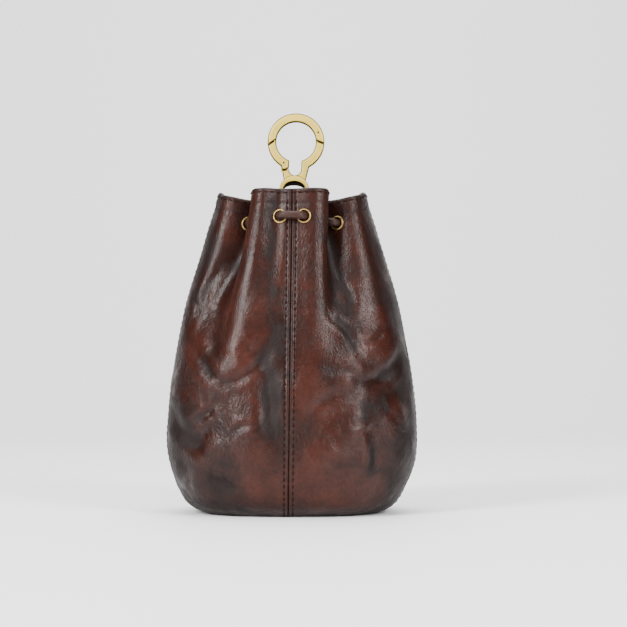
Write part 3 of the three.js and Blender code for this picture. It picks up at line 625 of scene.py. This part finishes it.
def crease_field(x, z, creases):
    """Depth of the creases at places of a view, each a groove with a soft lip on both sides."""
    total = np.zeros_like(x)
    for x0, z0, x1, z1, depth, half, bow in creases:
        dx, dz = x1 - x0, z1 - z0
        length = math.hypot(dx, dz)
        t = ((x - x0) * dx + (z - z0) * dz) / length ** 2
        side = ((x - x0) * dz - (z - z0) * dx) / length
        side = side + bow * length * 4 * np.clip(t, 0, 1) * (1 - np.clip(t, 0, 1))
        half = half * 1.25
        past = np.maximum(np.maximum(-t, t - 1), 0) * length
        fade = np.exp(-(past / (2.2 * half)) ** 2) * (0.35 + 0.65 * np.sin(np.pi * np.clip(t, 0.08, 0.92)))
        u = side / half
        total -= depth * fade * (np.exp(-u * u) - 0.42 * np.exp(-(np.abs(u) - 2) ** 2 / 1.2))
    return total


def ridged(points, scale, offset, octaves):
    """Fractal noise at each point."""
    return np.array([noise.fractal(Vector(p) * scale + offset, 1, 2.1, octaves, noise_basis="PERLIN_ORIGINAL")
                     for p in points])


def wrinkles(points):
    """Soft wrinkles, three to eight millimetres across, stronger in the belly's lower half."""
    shape = points.shape[:-1]
    flat = points.reshape(-1, 3)
    offset = Vector((3.7, 1.3, 8.1))
    broad = ridged(flat * (1, 1, 0.75), 0.05, offset, 2)
    folds = ridged(flat + broad[:, None] * 9, 0.16, offset * 2, 3)
    sharp = -np.exp(-(folds / 0.075) ** 2)
    strength = np.clip(ridged(flat, 0.035, offset * 3, 2) * 2.2 + 0.45, 0, 1)
    low = np.clip(1.15 - flat[:, 2] / 120, 0.08, 1)
    swell = 1.4 * broad * np.clip(low + 0.25, 0, 1)
    return (swell + (0.24 * folds + 0.13 * sharp * strength) * low).reshape(shape)


SEAMS = (0, 90, 180, 270, 360)
STITCH_PITCH = 3.1
STITCH_ROW = 2  # from the seam, in millimetres
HEM_STITCH = 1.9  # below the rim


def seam_distance(around, points):
    radius = np.hypot(points[..., 0], points[..., 1])
    nearest = np.min([np.abs(wrap(around - s)) for s in SEAMS], axis=0)
    return np.radians(nearest) * radius


def below_rim(points, around):
    """How far a point is below the rim above it, in millimetres."""
    rim = skin_point(around, LAST_ROW)
    return rim[..., 2] - points[..., 2]


def detailed_skin(around, row):
    """The skin with its creases, wrinkles, seams and hem, in millimetres."""
    points = skin_point(around, row)
    normal = skin_normal(around, row)
    x, z = points[..., 0], points[..., 2]
    front = smooth((-points[..., 1] + 2) / 8)
    out = 0.7 * (crease_field(x, z, FRONT_CREASES) * front + crease_field(-x, z, BACK_CREASES) * (1 - front))
    out = out * smooth((z - 4) / 10)
    under = below_rim(points, around)
    calm = smooth((under - 4) / 20) * smooth((z - 0.5) / 6)
    out += wrinkles(points) * calm * 0.9
    near = seam_distance(around, points)
    seam = -0.45 * np.exp(-(near / 0.32) ** 2) + 0.1 * np.exp(-((near - 0.95) / 0.6) ** 2)
    seam -= 0.16 * np.exp(-((near - STITCH_ROW) / 0.5) ** 2)
    out = out * (1 - 0.6 * np.exp(-(near / 3) ** 2)) + seam * smooth((z - 0.2) / 2)
    out -= 0.14 * np.exp(-((under - HEM_STITCH) / 0.55) ** 2)
    out -= 0.25 * np.exp(-((under - HEM_HEIGHT) / 0.6) ** 2)
    return points + normal * out[..., None], normal, out


# Darker and redder strokes, partly dye and partly painted shade along folds and valleys: from x, z to x, z in
# millimetres, half width, and how dark
TONES = [
    (-8.9, 145.5, -9.4, 120.9, 1.6, 0.55), (-9.4, 120.9, -8.3, 103.2, 1.8, 0.5),
    (-8.3, 103.2, -6.5, 80.4, 2.7, 0.45), (-6.5, 80.4, -8.7, 57.7, 4.1, 0.6),
    (-8.7, 57.7, -10.3, 38.6, 2.3, 0.8), (-20.6, 85, -20.1, 78.6, 2.7, 0.35),
    (-12.8, 145.5, -13.7, 121.4, 1.8, -0.05), (18.6, 125.5, 20.4, 98.6, 1.8, 0.6),
    (20.4, 98.6, 24.9, 85, 2.7, 0.6), (24.9, 85, 29, 77.7, 2.3, 0.5),
    (14, 69.1, 18.6, 61.8, 1.8, 0.45), (35.9, 68.6, 44.5, 65, 2.3, 0.55),
    (53.1, 60.9, 34, 45.9, 3.2, 0.6), (34, 45.9, 19.9, 36.3, 3.2, 0.45),
    (49, 48.1, 38.1, 32.7, 2.3, -0.5), (35.9, 36.3, 35.9, 20.4, 1, 0.7),
    (39.9, 18.6, 50.9, 14, 4.5, 0.5), (-52, 45.9, -42.9, 36.3, 3.6, 0.65),
    (-42.9, 36.3, -42, 29.5, 2.3, 0.45), (-39.7, 44, -30.1, 39.5, 3.6, 0.25),
    (-43.8, 21.3, -23.8, 7.6, 5.5, 0.45), (-48.8, 21.3, -35.1, 7.6, 4.1, 0.35),
    (-45.6, 90.5, -44.7, 54, 2.3, -0.5), (-31, 90.5, -21, 70.4, 4.1, -0.35),
    (-39.7, 60.4, -16.9, 63.1, 2.7, -0.5), (-31.9, 53.1, -20.1, 53.1, 3.6, -0.35),
    (3.5, 64.5, 13.6, 39.5, 5.5, -0.4), (-23.8, 28.1, -5.6, 12.2, 5.5, -0.3),
    (5.8, 25.8, 26.3, 12.2, 7.3, -0.3), (-29.2, 141.9, -25.6, 125.9, 2.7, -0.45),
    (27.2, 132.8, 32.7, 115.9, 2.7, -0.3), (-4.6, 137.3, -2.8, 105.5, 1.4, -0.5),
    (2.2, 137.3, 4.9, 105.5, 1.4, -0.5), (7.2, 98.6, 11.7, 75.9, 3.6, -0.3),
    (30.8, 98.6, 39.9, 85, 4.5, -0.1), (42.2, 98.6, 48.1, 80.4, 2.3, 0.3),
    (-38.8, 85, -30.1, 71.3, 1.4, 0.2),
]


def leather_dye_and_shade(points, out, around):
    """How dark the leather is: painted shade in hollows, in the valleys' folds and towards the sides, painted light
    where it rises, darker along seams, towards the base and at the rim, and in strokes partly dye and partly
    painted shade.
    """
    x, z = points[..., 0], points[..., 2]
    # painted shade where the surface sinks in, painted light where it rises
    shade = 0.3 + np.clip(-out * 0.5, -0.35, 0.6)
    near = seam_distance(around, points)
    shade += 0.35 * np.exp(-(near / 0.35) ** 2)
    shade += 0.1 * np.exp(-((near - STITCH_ROW) / 0.45) ** 2)
    # painted shade: darker towards the pouch's left and right sides
    half = np.interp(z, [0, 20, 40, 75, 110, 150], [40, 54, 58, 54, 45, 35])
    shade += 0.6 * smooth((np.abs(x) / half - 0.74) / 0.24)
    shade += 0.4 * smooth((14 - z) / 14)
    under = below_rim(points, around)
    shade += 0.45 * np.exp(-(under / 0.8) ** 2) - 0.1 * np.exp(-((under - HEM_STITCH) / 0.8) ** 2)
    # painted shade along the valleys' folds
    folds = np.zeros_like(x)
    for a, foot, ends, depth, spread, *_ in VALLEYS:
        rise = smooth((z / POUCH_HEIGHT - ends) / (1 - ends) * 1.6)
        middle = foot + (a - foot) * np.clip((z / POUCH_HEIGHT - ends) / (1 - ends), 0, 1)
        folds += min(1, depth * 3) * rise * np.exp(-(wrap(around - middle) / (spread * 0.5)) ** 2)
    shade += 0.55 * folds
    front = smooth((-points[..., 1] + 4) / 12)
    flat = points.reshape(-1, 3)
    stray = 5.5 * ridged(flat, 0.12, Vector((5.1, 9.4, 2.2)), 3).reshape(x.shape)
    drift = 5.5 * ridged(flat, 0.12, Vector((1.9, 4.6, 7.3)), 3).reshape(x.shape)
    # strokes, partly dye and partly painted shade along folds
    for side, share in ((x, front), (-x, 0.8 * (1 - front))):
        for x0, z0, x1, z1, half_width, dark in TONES:
            dx, dz = x1 - x0, z1 - z0
            calm = min(1, half_width / 3)
            ax, az = side + stray * calm - x0, z + drift * calm - z0
            t = np.clip((ax * dx + az * dz) / (dx * dx + dz * dz), 0, 1)
            away = np.hypot(ax - t * dx, az - t * dz)
            shade += share * 0.75 * dark * np.exp(-(away / (1.3 * half_width + 0.6)) ** 2)
    return shade


# ---------------- the four panels
def row_table(step):
    """Fractional rows that are about one step apart along the belly's profile."""
    fine = np.linspace(0, LAST_ROW, 3000)
    length = run_of(skin_point(60, fine))
    count = int(length[-1] / step)
    return np.interp(np.linspace(0, length[-1], count), length, fine)


def panel_mesh(name, start, stop):
    columns = 148
    step = 0.72
    ts = np.linspace(-1, 1, columns)
    ts = 0.5 * ts + 0.5 * np.sin(ts * math.pi / 2)  # closer columns near the seams
    ts = (ts - ts[0]) / (ts[-1] - ts[0])
    round_top = 1.25
    top_row = row_below_rim(round_top)
    rows = row_table(step)
    rows = np.concatenate([rows[rows < top_row - 0.02], [top_row]])
    inner_rows = np.concatenate([rows[::3], [top_row]])
    mid = math.radians((start + stop) / 2)
    corner = np.array((math.copysign(SEAM_OFFSET, math.sin(mid)), -math.copysign(SEAM_OFFSET, math.cos(mid)), 0))

    def angles(rows_in):
        rows_in = np.asarray(rows_in, float)
        first = start + np.degrees(SEAM_OFFSET / np.linalg.norm(skin_point(start, rows_in)[..., :2], axis=-1))
        last = stop - np.degrees(SEAM_OFFSET / np.linalg.norm(skin_point(stop, rows_in)[..., :2], axis=-1))
        return first[:, None] + (last - first)[:, None] * ts[None, :]

    outer_angle = angles(rows)
    row_grid = np.repeat(rows[:, None], columns, 1)
    outer, normal, out = detailed_skin(outer_angle, row_grid)
    patina_and_shade = leather_dye_and_shade(outer, out, outer_angle)
    outer[..., 2] = np.maximum(outer[..., 2], 0)
    grid, shades = [], []

    def grow(rings, shade):
        """Adds rings of points, which share one value of the patina_and_shade attribute."""
        for ring in rings:
            grid.append(ring)
            shades.append(np.full(columns, shade))

    def base_rings(edge, height, shares):
        """Rings of the flat base from its edge or to it, between the middle of the pouch and the wall."""
        for share in shares:
            ring = corner + (edge - corner) * share
            ring[..., 2] = height
            yield ring

    grow(base_rings(outer[0], 0, np.linspace(0, 1, 16)[:-1]), 0.75)
    turn = len(grid) + len(outer) + 4  # the middle ring of the rounded rim
    grid += list(outer)
    shades += list(patina_and_shade)
    # over the rounded rim and down the inner face
    up = np.array((0, 0, round_top))
    bends = [k * math.pi / 10 for k in range(1, 10)]
    grow([outer[-1] + normal[-1] * (-HEM / 2 + HEM / 2 * math.cos(a)) + up * math.sin(a) for a in bends], 0.7)
    hem_row = row_below_rim(HEM_HEIGHT)
    grow([off_skin(angles([row])[0], row, -(HEM if row >= hem_row else LEATHER)) for row in inner_rows[::-1]], 0.45)
    grow(base_rings(skin_point(angles([0])[0], 0), LEATHER, np.linspace(1, 0, 8)[1:]), 0.45)
    grid = np.array(grid)
    count = len(grid)
    faces = grid_faces(count, columns)
    # close the two seam edges between the outer and the inner profile
    for column, flip in ((0, False), (columns - 1, True)):
        left, right = 0, count - 1
        while right - left > 1:
            go_left = left < turn and (right <= turn + 1 or
                                       np.linalg.norm(grid[left + 1, column] - grid[right, column])
                                       < np.linalg.norm(grid[left, column] - grid[right - 1, column]))
            third = left + 1 if go_left else right - 1
            tri = (left * columns + column, right * columns + column, third * columns + column)
            faces.append(tri if not flip else tri[::-1])
            if go_left:
                left += 1
            else:
                right -= 1
    obj = mesh_object(name, grid.reshape(-1, 3) * MM, faces)
    add_patina_and_shade(obj.data, np.concatenate(shades))
    clean(obj.data, 1e-6, 1e-7)
    obj.data.shade_smooth()
    return obj


for name, start, stop in (("front_right_panel", 0, 90), ("back_right_panel", 90, 180),
                          ("back_left_panel", 180, 270), ("front_left_panel", 270, 360)):
    panel = panel_mesh("leather_" + name, start, stop)
    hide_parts(name)
    dress(panel, bag_leather)


# ---------------- stitches
def stitch_row(name, places, thickness=0.3):
    """A row of stitches: places is a list of (middle, along, normal) in millimetres."""
    verts, faces = [], []
    for middle, along, normal in places:
        ts = np.linspace(-1, 1, 6)
        path = [middle + along * (t * 1.02) + normal * (0.2 * (1 - t ** 4) - 0.08) for t in ts]
        radii = [thickness * (0.55 + 0.45 * math.sqrt(max(0, 1 - t * t))) for t in ts]
        v, f = tube(path, radii, 7)
        base = len(verts)
        verts += [p * MM for p in v]
        faces += [tuple(base + q for q in face) for face in f]
    obj = mesh_object(name, verts, faces)
    dress(obj, thread)
    return obj


def stitch_places(points, normal, first, left):
    """Places of stitches along a line of points, a pitch apart, from first to so much left at the end."""
    run = run_of(points)
    at = lambda values, s: np.array([np.interp(s, run, values[:, k]) for k in range(3)])
    return [(at(points, m), unit(at(points, m + 0.8) - at(points, m - 0.8)), unit(at(normal, m)))
            for m in np.arange(first, run[-1] - left, STITCH_PITCH)]


seam_rows = np.linspace(0.35, row_below_rim(4.4), 420)
for seam, label in ((0, "front"), (90, "right"), (180, "back"), (270, "left")):
    radius = np.linalg.norm(skin_point(seam, seam_rows)[:, :2], axis=1)
    both = []
    for side in (-1, 1):
        points, normal, _ = detailed_skin(seam + side * np.degrees(STITCH_ROW / radius), seam_rows)
        both += stitch_places(points, normal, STITCH_PITCH / 2, 0)
    stitch_row(label + "_seam_stitches", both)

rim_angles = np.linspace(0, 360, 1441)
points, normal, _ = detailed_skin(rim_angles, np.full_like(rim_angles, row_below_rim(HEM_STITCH)))
stitch_row("hem_stitches", stitch_places(points, normal, 0.9, 1), 0.4)


# ---------------- eyelets
def turned(profile, segments, closed):
    """Vertices and faces of a profile of (radius, height) turned about the third axis."""
    verts = []
    for k in range(segments):
        a = 2 * math.pi * k / segments
        verts += [(r * math.cos(a), r * math.sin(a), height) for r, height in profile]
    return verts, grid_faces(segments, len(profile), True, closed)


def eyelet_profile():
    bore, barrel, flange = EYELET_BORE / 2, EYELET_BARREL / 2, EYELET_FLANGE / 2
    dome = []
    for k in range(13):
        a = math.pi * k / 12
        middle, half = (bore + flange) / 2, (flange - bore) / 2
        dome.append((middle + half * math.cos(a), OUTER_SEAT - 0.1 + 0.85 * math.sin(a) ** 0.8))
    return dome + [(bore, INNER_SEAT), (bore + 0.1, INNER_LIP + 0.1), (bore + 0.4, INNER_LIP),
                   (flange - 0.2, INNER_LIP + 0.1), (flange, INNER_SEAT - 0.1), (flange - 0.1, INNER_SEAT + 0.1),
                   (barrel, INNER_SEAT + 0.15), (barrel, OUTER_SEAT - 0.15)]


for i, (middle, normal) in enumerate(EYELETS):
    verts, faces = turned(eyelet_profile(), 48, True)
    ring = mesh_object("brass_eyelet_%d" % (i + 1), np.array(verts) * MM, faces)
    shares = [(math.hypot(x, y) - EYELET_BORE / 2) / (EYELET_FLANGE - EYELET_BORE) * 2 for x, y, _ in verts]
    add_patina_and_shade(ring.data, [0.11 * (1 - math.exp(-((share - 0.66) / 0.26) ** 2)) for share in shares])
    turn = Vector((0, 0, 1)).rotation_difference(Vector(normal)).to_matrix().to_4x4()
    ring.data.transform(Matrix.Translation(Vector(middle) * MM) @ turn)
    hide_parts("eyelet_%d" % (i + 1))
    dress(ring, eyelet_brass)

# ---------------- the laced drawstring
lace_points = smooth_path(drawstring_route(), 0.55)
verts, faces = tube(lace_points * MM, CORD / 2 * MM, 18)
lace = mesh_object("laced_cord", verts, faces)
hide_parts("drawstring")
dress(lace, cord_leather)

# ---------------- the tab
back_rim = off_skin(180, LAST_ROW, -HEM / 2)
RIM_TOP = float(back_rim[2])
CLASP_PLANE = float(back_rim[1])
EYE_MIDDLE = RIM_TOP + FIT_GAP + EYE_OUTER / 2
BAR_TOP = EYE_MIDDLE - EYE_OUTER / 2 + EYE_BAR


def tab_mesh():
    section = []  # a rounded bar: across from -1 to 1, thickness from 0 to 1
    half, thick, radius = TAB_WIDTH / 2, TAB_THICKNESS, 0.45
    for cx, cy, a0 in ((half - radius, thick - radius, 0), (-half + radius, thick - radius, 90),
                       (-half + radius, radius, 180), (half - radius, radius, 270)):
        for k in range(5):
            a = math.radians(a0 + 22.5 * k)
            section.append((cx + radius * math.cos(a), cy + radius * math.sin(a)))
    full = []
    for (x0, y0), (x1, y1) in zip(section, section[1:] + section[:1]):
        parts = 10 if abs(x1 - x0) > 2 else 1
        full += [(x0 + (x1 - x0) * k / parts, y0 + (y1 - y0) * k / parts) for k in range(parts)]
    xs, ys = np.array(full).T
    skin_radius = float(skin_point(180, LAST_ROW)[1])
    angle = 180 - np.degrees((xs + CLASP_SHIFT) / skin_radius)
    leg_rows = [row_below_rim(TAB_LEG - k * (TAB_LEG - 0.6) / 14) for k in range(15)]

    def leg(away):
        """The loops of one leg, from its rounded end up to the rim."""
        return [off_skin(180 + (angle - 180) * (1 - 0.35 * (1 - min(1, k / 2)) ** 2), row, away[:, None])
                for k, row in enumerate(leg_rows)]

    loops = leg(FIT_GAP + ys)
    inner = BAR_DEPTH / 2 + FIT_GAP
    for k in range(13):
        a = k * math.pi / 12
        r = inner + ys
        loops.append(np.stack([xs + CLASP_SHIFT, CLASP_PLANE + r * math.cos(a), BAR_TOP + r * math.sin(a)], -1))
    loops += leg(-HEM - FIT_GAP - ys)[::-1]
    n = len(full)
    faces = grid_faces(len(loops), n, round_columns=True)
    faces.append(tuple(range(n)))
    faces.append(tuple(range((len(loops) - 1) * n, len(loops) * n))[::-1])
    obj = mesh_object("tab_strap", np.concatenate(loops) * MM, faces)
    clean(obj.data)
    return obj


tab = tab_mesh()
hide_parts("hanging_tab")
dress(tab, strap_leather)
rim_radius = float(skin_point(180, LAST_ROW)[1])
tab_places = []
for x, below, along in [(side * 2.3, TAB_LEG - 2 - 3 * k, (0, 0, 1)) for side in (-1, 1) for k in range(3)] \
        + [(0, TAB_LEG - 1.4, (1, 0, 0))]:
    row = row_below_rim(below)
    around = 180 - math.degrees((CLASP_SHIFT + x) / rim_radius)
    tab_places.append((off_skin(around, row, FIT_GAP + TAB_THICKNESS), np.array(along), skin_normal(around, row)))
stitch_row("tab_stitches", tab_places)

# ---------------- the clasp
RING_R, BORE_R, EYE_R = RING_OUTER / 2, RING_INNER / 2, EYE_OUTER / 2
GATE_PIN = (-5.6, 13.2)
BOW_PIN = (10.6, 28.6)
LEFT_JOINT = ((-8.5, 25.4), (-15.5, 20.2))
RIGHT_JOINT = ((8.2, 25.1), (15.5, 22.6))


def arc(cx, cz, r, start, stop, steps):
    return [(cx + r * math.cos(math.radians(start + (stop - start) * k / steps)),
             cz + r * math.sin(math.radians(start + (stop - start) * k / steps))) for k in range(steps + 1)]


def joint_angle(joint, radius, shift):
    """The angle round the ring where a joint line, moved up by shift, meets a circle of the ring."""
    (x0, z0), (x1, z1) = joint
    best = None
    for k in range(2001):
        t = k / 2000
        x, z = x0 + (x1 - x0) * t, z0 + shift + (z1 - z0) * t
        miss = abs(math.hypot(x, z - RING_RISE) - radius)
        if best is None or miss < best[0]:
            best = (miss, math.degrees(math.atan2(z - RING_RISE, x)))
    return best[1]


def eye_opening():
    half_width, crown, foot = EYE_R - EYE_SIDE, EYE_R - EYE_CROWN, EYE_R - EYE_BAR
    points = [(x * half_width, z * crown) for x, z in arc(0, 0, 1, 0, 180, 20)]
    corner = [(1, 0.25), (0.97, 0.55), (0.87, 0.78), (0.72, 0.92), (0.5, 1), (0.2, 1)]
    left = [(-x * half_width, -z * foot) for x, z in corner]
    right = [(x * half_width, -z * foot) for x, z in corner[::-1]]
    return points + left + right


def evaluated(obj):
    bpy.context.view_layer.update()
    return bpy.data.meshes.new_from_object(obj.evaluated_get(bpy.context.evaluated_depsgraph_get()))


def plate(name, outlines, depth=CLASP_DEPTH, bevel=SOFT):
    """A flat shape in the clasp's plane, with holes, given its depth and round edges; in the object's frame."""
    curve = bpy.data.curves.new(name, "CURVE")
    curve.dimensions = "2D"
    curve.fill_mode = "BOTH"
    curve.extrude = (depth / 2 - bevel) * MM
    curve.bevel_depth = bevel * MM
    curve.bevel_resolution = 3
    curve.offset = -bevel * MM
    for outline in outlines:
        spline = curve.splines.new("POLY")
        spline.points.add(len(outline) - 1)
        for point, (x, z) in zip(spline.points, outline):
            point.co = (x * MM, z * MM, 0, 1)
        spline.use_cyclic_u = True
    holder = linked(name, curve)
    mesh = evaluated(holder)
    bpy.data.objects.remove(holder)
    clean(mesh, 2e-6)
    mesh.transform(Matrix.Rotation(math.pi / 2, 4, "X"))
    return linked(name, mesh)


def boolean(obj, other, operation):
    modifier = obj.modifiers.new("cut", "BOOLEAN")
    modifier.object = other
    modifier.operation = operation
    modifier.solver = "EXACT"
    mesh = evaluated(obj)
    obj.modifiers.clear()
    obj.data = mesh
    bpy.data.objects.remove(other)


def circle(x, z, r, steps=40):
    return arc(x, z, r, 0, 360, steps)[:-1]


HALF_GAP = FIT_GAP / 2
waist = math.degrees(math.acos(WAIST_WIDTH / 2 / RING_R))
shoulder = math.degrees(math.acos(SHOULDER_WIDTH / 2 / EYE_R))
slot_angle = math.degrees(math.acos(SLOT_WIDTH / 2 / BORE_R))
slot_foot = EYE_R + SLOT_WIDTH / 2 + 0.1
seat = GATE_HUB + FIT_GAP

# bow: from the right joint over the top to the left joint
bow_outer = (joint_angle(RIGHT_JOINT, RING_R, HALF_GAP), joint_angle(LEFT_JOINT, RING_R, HALF_GAP))
bow_inner = (joint_angle(RIGHT_JOINT, BORE_R, HALF_GAP), joint_angle(LEFT_JOINT, BORE_R, HALF_GAP))
bow = plate("clasp_upper_bow", [arc(0, RING_RISE, RING_R, bow_outer[0], bow_outer[1] % 360, 72)
                                + arc(0, RING_RISE, BORE_R, bow_inner[1] % 360, bow_inner[0], 72)])

# gate: from the left joint down round the ring to its round foot about the pin
gate_outer = joint_angle(LEFT_JOINT, RING_R, -HALF_GAP) % 360
gate_inner = joint_angle(LEFT_JOINT, BORE_R, -HALF_GAP) % 360
slot_side = -SLOT_WIDTH / 2
slot_top = (slot_side, RING_RISE - math.sqrt(BORE_R ** 2 - slot_side ** 2))
waist_point = (-WAIST_WIDTH / 2, RING_RISE - math.sqrt(RING_R ** 2 - (WAIST_WIDTH / 2) ** 2))
shoulder_point = (-SHOULDER_WIDTH / 2, math.sqrt(EYE_R ** 2 - (SHOULDER_WIDTH / 2) ** 2))


def leg_x(z):
    """The left leg's outer edge at a height."""
    t = (z - shoulder_point[1]) / (waist_point[1] - shoulder_point[1])
    return shoulder_point[0] + (waist_point[0] - shoulder_point[0]) * t


hub_clip = [(min(x, slot_side), z) for x, z in arc(*GATE_PIN, GATE_HUB, 240, 360, 48) if x > leg_x(z)]
gate_outline = (arc(0, RING_RISE, RING_R, gate_outer, 180 + waist, 34) + hub_clip + [slot_top]
                + arc(0, RING_RISE, BORE_R, 180 + slot_angle, gate_inner, 30)[1:])
gate = plate("clasp_swing_gate", [gate_outline])

# frame: the eye, the legs and the lower right of the ring
frame_outer = joint_angle(RIGHT_JOINT, RING_R, -HALF_GAP)
frame_inner = joint_angle(RIGHT_JOINT, BORE_R, -HALF_GAP)
slot_arc = [p for p in arc(0, slot_foot, SLOT_WIDTH / 2, 0, -180, 48) if math.dist(p, GATE_PIN) > seat]
seat_arc = [(x, z) for x, z in arc(*GATE_PIN, seat, 340, 215, 60)
            if math.dist((x, z), (0, slot_foot)) > SLOT_WIDTH / 2 + 0.02 and x > leg_x(z) and z < slot_foot]
frame_outline = (arc(0, RING_RISE, RING_R, -waist, frame_outer, 34)
                 + arc(0, RING_RISE, BORE_R, frame_inner, -slot_angle, 34)
                 + slot_arc + seat_arc
                 + arc(0, 0, EYE_R, 180 - shoulder, 360 + shoulder, 72))
frame_piece = plate("clasp_casting", [frame_outline, eye_opening()])
sleeve = plate("sleeve", [circle(0, 0, EYE_R, 72), eye_opening()], EYE_DEPTH, 0.35)
boolean(frame_piece, sleeve, "UNION")


def block(x0, x1, z0, z1, y0, y1):
    bm = bmesh.new()
    bmesh.ops.create_cube(bm, size=1)
    mesh = bpy.data.meshes.new("block")
    bm.to_mesh(mesh)
    bm.free()
    size = ((x1 - x0) * MM, (y1 - y0) * MM, (z1 - z0) * MM)
    centre = ((x0 + x1) / 2 * MM, (y0 + y1) / 2 * MM, (z0 + z1) / 2 * MM)
    mesh.transform(Matrix.Translation(centre) @ Matrix.Diagonal((*size, 1)))
    return linked("block", mesh)


clear = TAB_WIDTH / 2 + 2 * FIT_GAP
for y0, y1 in ((-EYE_DEPTH, -BAR_DEPTH / 2), (BAR_DEPTH / 2, EYE_DEPTH)):
    boolean(frame_piece, block(-clear, clear, -EYE_R - 2, -1.2, y0, y1), "DIFFERENCE")
boolean(frame_piece, plate("tongue_a", [circle(*GATE_PIN, 2.1)], TONGUE, 0.1), "UNION")
boolean(frame_piece, block(-6.8, -4.1, 9, GATE_PIN[1], -TONGUE / 2, TONGUE / 2), "UNION")
band = arc(0, RING_RISE, RING_R - 0.3, -14, 36, 20) + arc(0, RING_RISE, BORE_R + 0.3, 36, -14, 20)
boolean(frame_piece, plate("tongue_b", [band], TONGUE, 0.1), "UNION")
fork = TONGUE + 2 * FIT_GAP
boolean(gate, plate("fork_a", [circle(*GATE_PIN, GATE_HUB + 1)], fork, 0.05), "DIFFERENCE")
wide_band = arc(0, RING_RISE, RING_R + 1, -14, 37.5, 20) + arc(0, RING_RISE, BORE_R - 1, 37.5, -14, 20)
boolean(bow, plate("fork_b", [wide_band], fork, 0.05), "DIFFERENCE")

# a near-black sheet across the top of the eye's opening: painted shade where the eye's inner face lies in shadow
crown = [(x * 0.955, z) for x, z in eye_opening()[:21]]
shade_lower_edge = [(x, z * 0.6) for x, z in crown][::-1]
eye_shade_sheet = plate("eye_painted_shade", [crown + shade_lower_edge], 3.6, 0.1)


def pin_piece(name, place):
    profile = [(0, -0.5), (0.8, -0.5), (0.95, -0.46), (1, -0.4), (1, 0.4), (0.95, 0.46), (0.8, 0.5), (0, 0.5)]
    profile = [(r * PIN_DIAMETER / 2, y * (CLASP_DEPTH + 0.05)) for r, y in profile]
    verts, faces = turned(profile, 24, False)
    obj = mesh_object(name, [(x * MM, y * MM, z * MM) for x, z, y in verts], faces)
    clean(obj.data, 1e-7)
    obj.data.transform(Matrix.Translation((place[0] * MM, 0, place[1] * MM)))
    return obj


gate_pin = pin_piece("gate_hinge_pin", GATE_PIN)
bow_pin = pin_piece("bow_rivet", BOW_PIN)
to_place = Matrix.Translation((CLASP_SHIFT * MM, CLASP_PLANE * MM, EYE_MIDDLE * MM)) @ \
    Matrix.Rotation(math.radians(CLASP_TILT), 4, "Y")
for piece, replaced, material in (
        (frame_piece, "clasp_frame", clasp_brass), (bow, "clasp_bow", clasp_brass),
        (gate, "clasp_gate", clasp_brass), (eye_shade_sheet, None, painted_shade_brass),
        (gate_pin, "gate_pin", pin_brass), (bow_pin, "bow_pin", pin_brass)):
    facing = [0.0] * len(piece.data.vertices)  # how squarely each point's faces look to the front or back
    for face in piece.data.polygons:
        for k in face.vertices:
            facing[k] = max(facing[k], abs(face.normal.y))
    # painted shade: the less a point faces front or back, the darker it is painted
    add_patina_and_shade(piece.data, [min(1, EDGE_SHADE_REACH * (1 - share)) for share in facing])
    piece.data.transform(to_place)
    piece.data.shade_smooth()
    piece.data.set_sharp_from_angle(angle=math.radians(38))
    if replaced:
        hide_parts(replaced)
    dress(piece, material, "gate" if piece is gate else "pouch")


# ---------------- floor and light
# a level floor that curves up into a backdrop: its reach, and the curve's start and radius, in metres
REACH, CURVE_Y, CURVE_R = 9, 0.75, 0.6
profile = [(-REACH, 0)]
for degrees in range(0, 91, 6):
    a = math.radians(degrees)
    profile.append((CURVE_Y + CURVE_R * math.sin(a), CURVE_R - CURVE_R * math.cos(a)))
profile.append((CURVE_Y + CURVE_R, 2.4))
floor = mesh_object("floor", [(x, y, z) for x in (-REACH, REACH) for y, z in profile], grid_faces(2, len(profile)))
pale, pale_tree, pale_shader = principled("floor", **{"Roughness": 0.6, "Base Color": (0.9, 0.9, 0.91, 1)})
floor.data.materials.append(pale)


def area_light(name, place, target, size, power, color=(1, 1, 1), size_y=None):
    data = bpy.data.lights.new(name, "AREA")
    data.energy = power
    data.color = color
    data.size = size
    if size_y:
        data.shape = "RECTANGLE"
        data.size_y = size_y
    light = linked(name, data)
    light.location = place
    light.rotation_euler = (Vector(target) - Vector(place)).to_track_quat("-Z", "Y").to_euler()


area_light("key_left", (-0.7, -0.72, 0.6), (0, 0, 0.08), 0.3, 27, (1, 0.99, 0.98), 0.8)
area_light("key_right", (0.68, -0.72, 0.5), (0, 0, 0.08), 0.26, 17, (1, 0.99, 0.98), 0.8)
area_light("top", (0, 0.1, 1.2), (0, 0, 0), 0.8, 11)
area_light("backdrop", (0, 0.6, 1.5), (0, 1.4, 0.2), 1.5, 26)
area_light("front_fill", (0.1, -1.3, 1.1), (0, 0, 0.08), 0.5, 4)

world = bpy.data.worlds.new("world")
bpy.context.scene.world = world
world.use_nodes = True
sky = world.node_tree.nodes["Background"]
sky.inputs["Color"].default_value = (1, 1, 1, 1)
sky.inputs["Strength"].default_value = 0.05

bpy.context.view_layer.update()
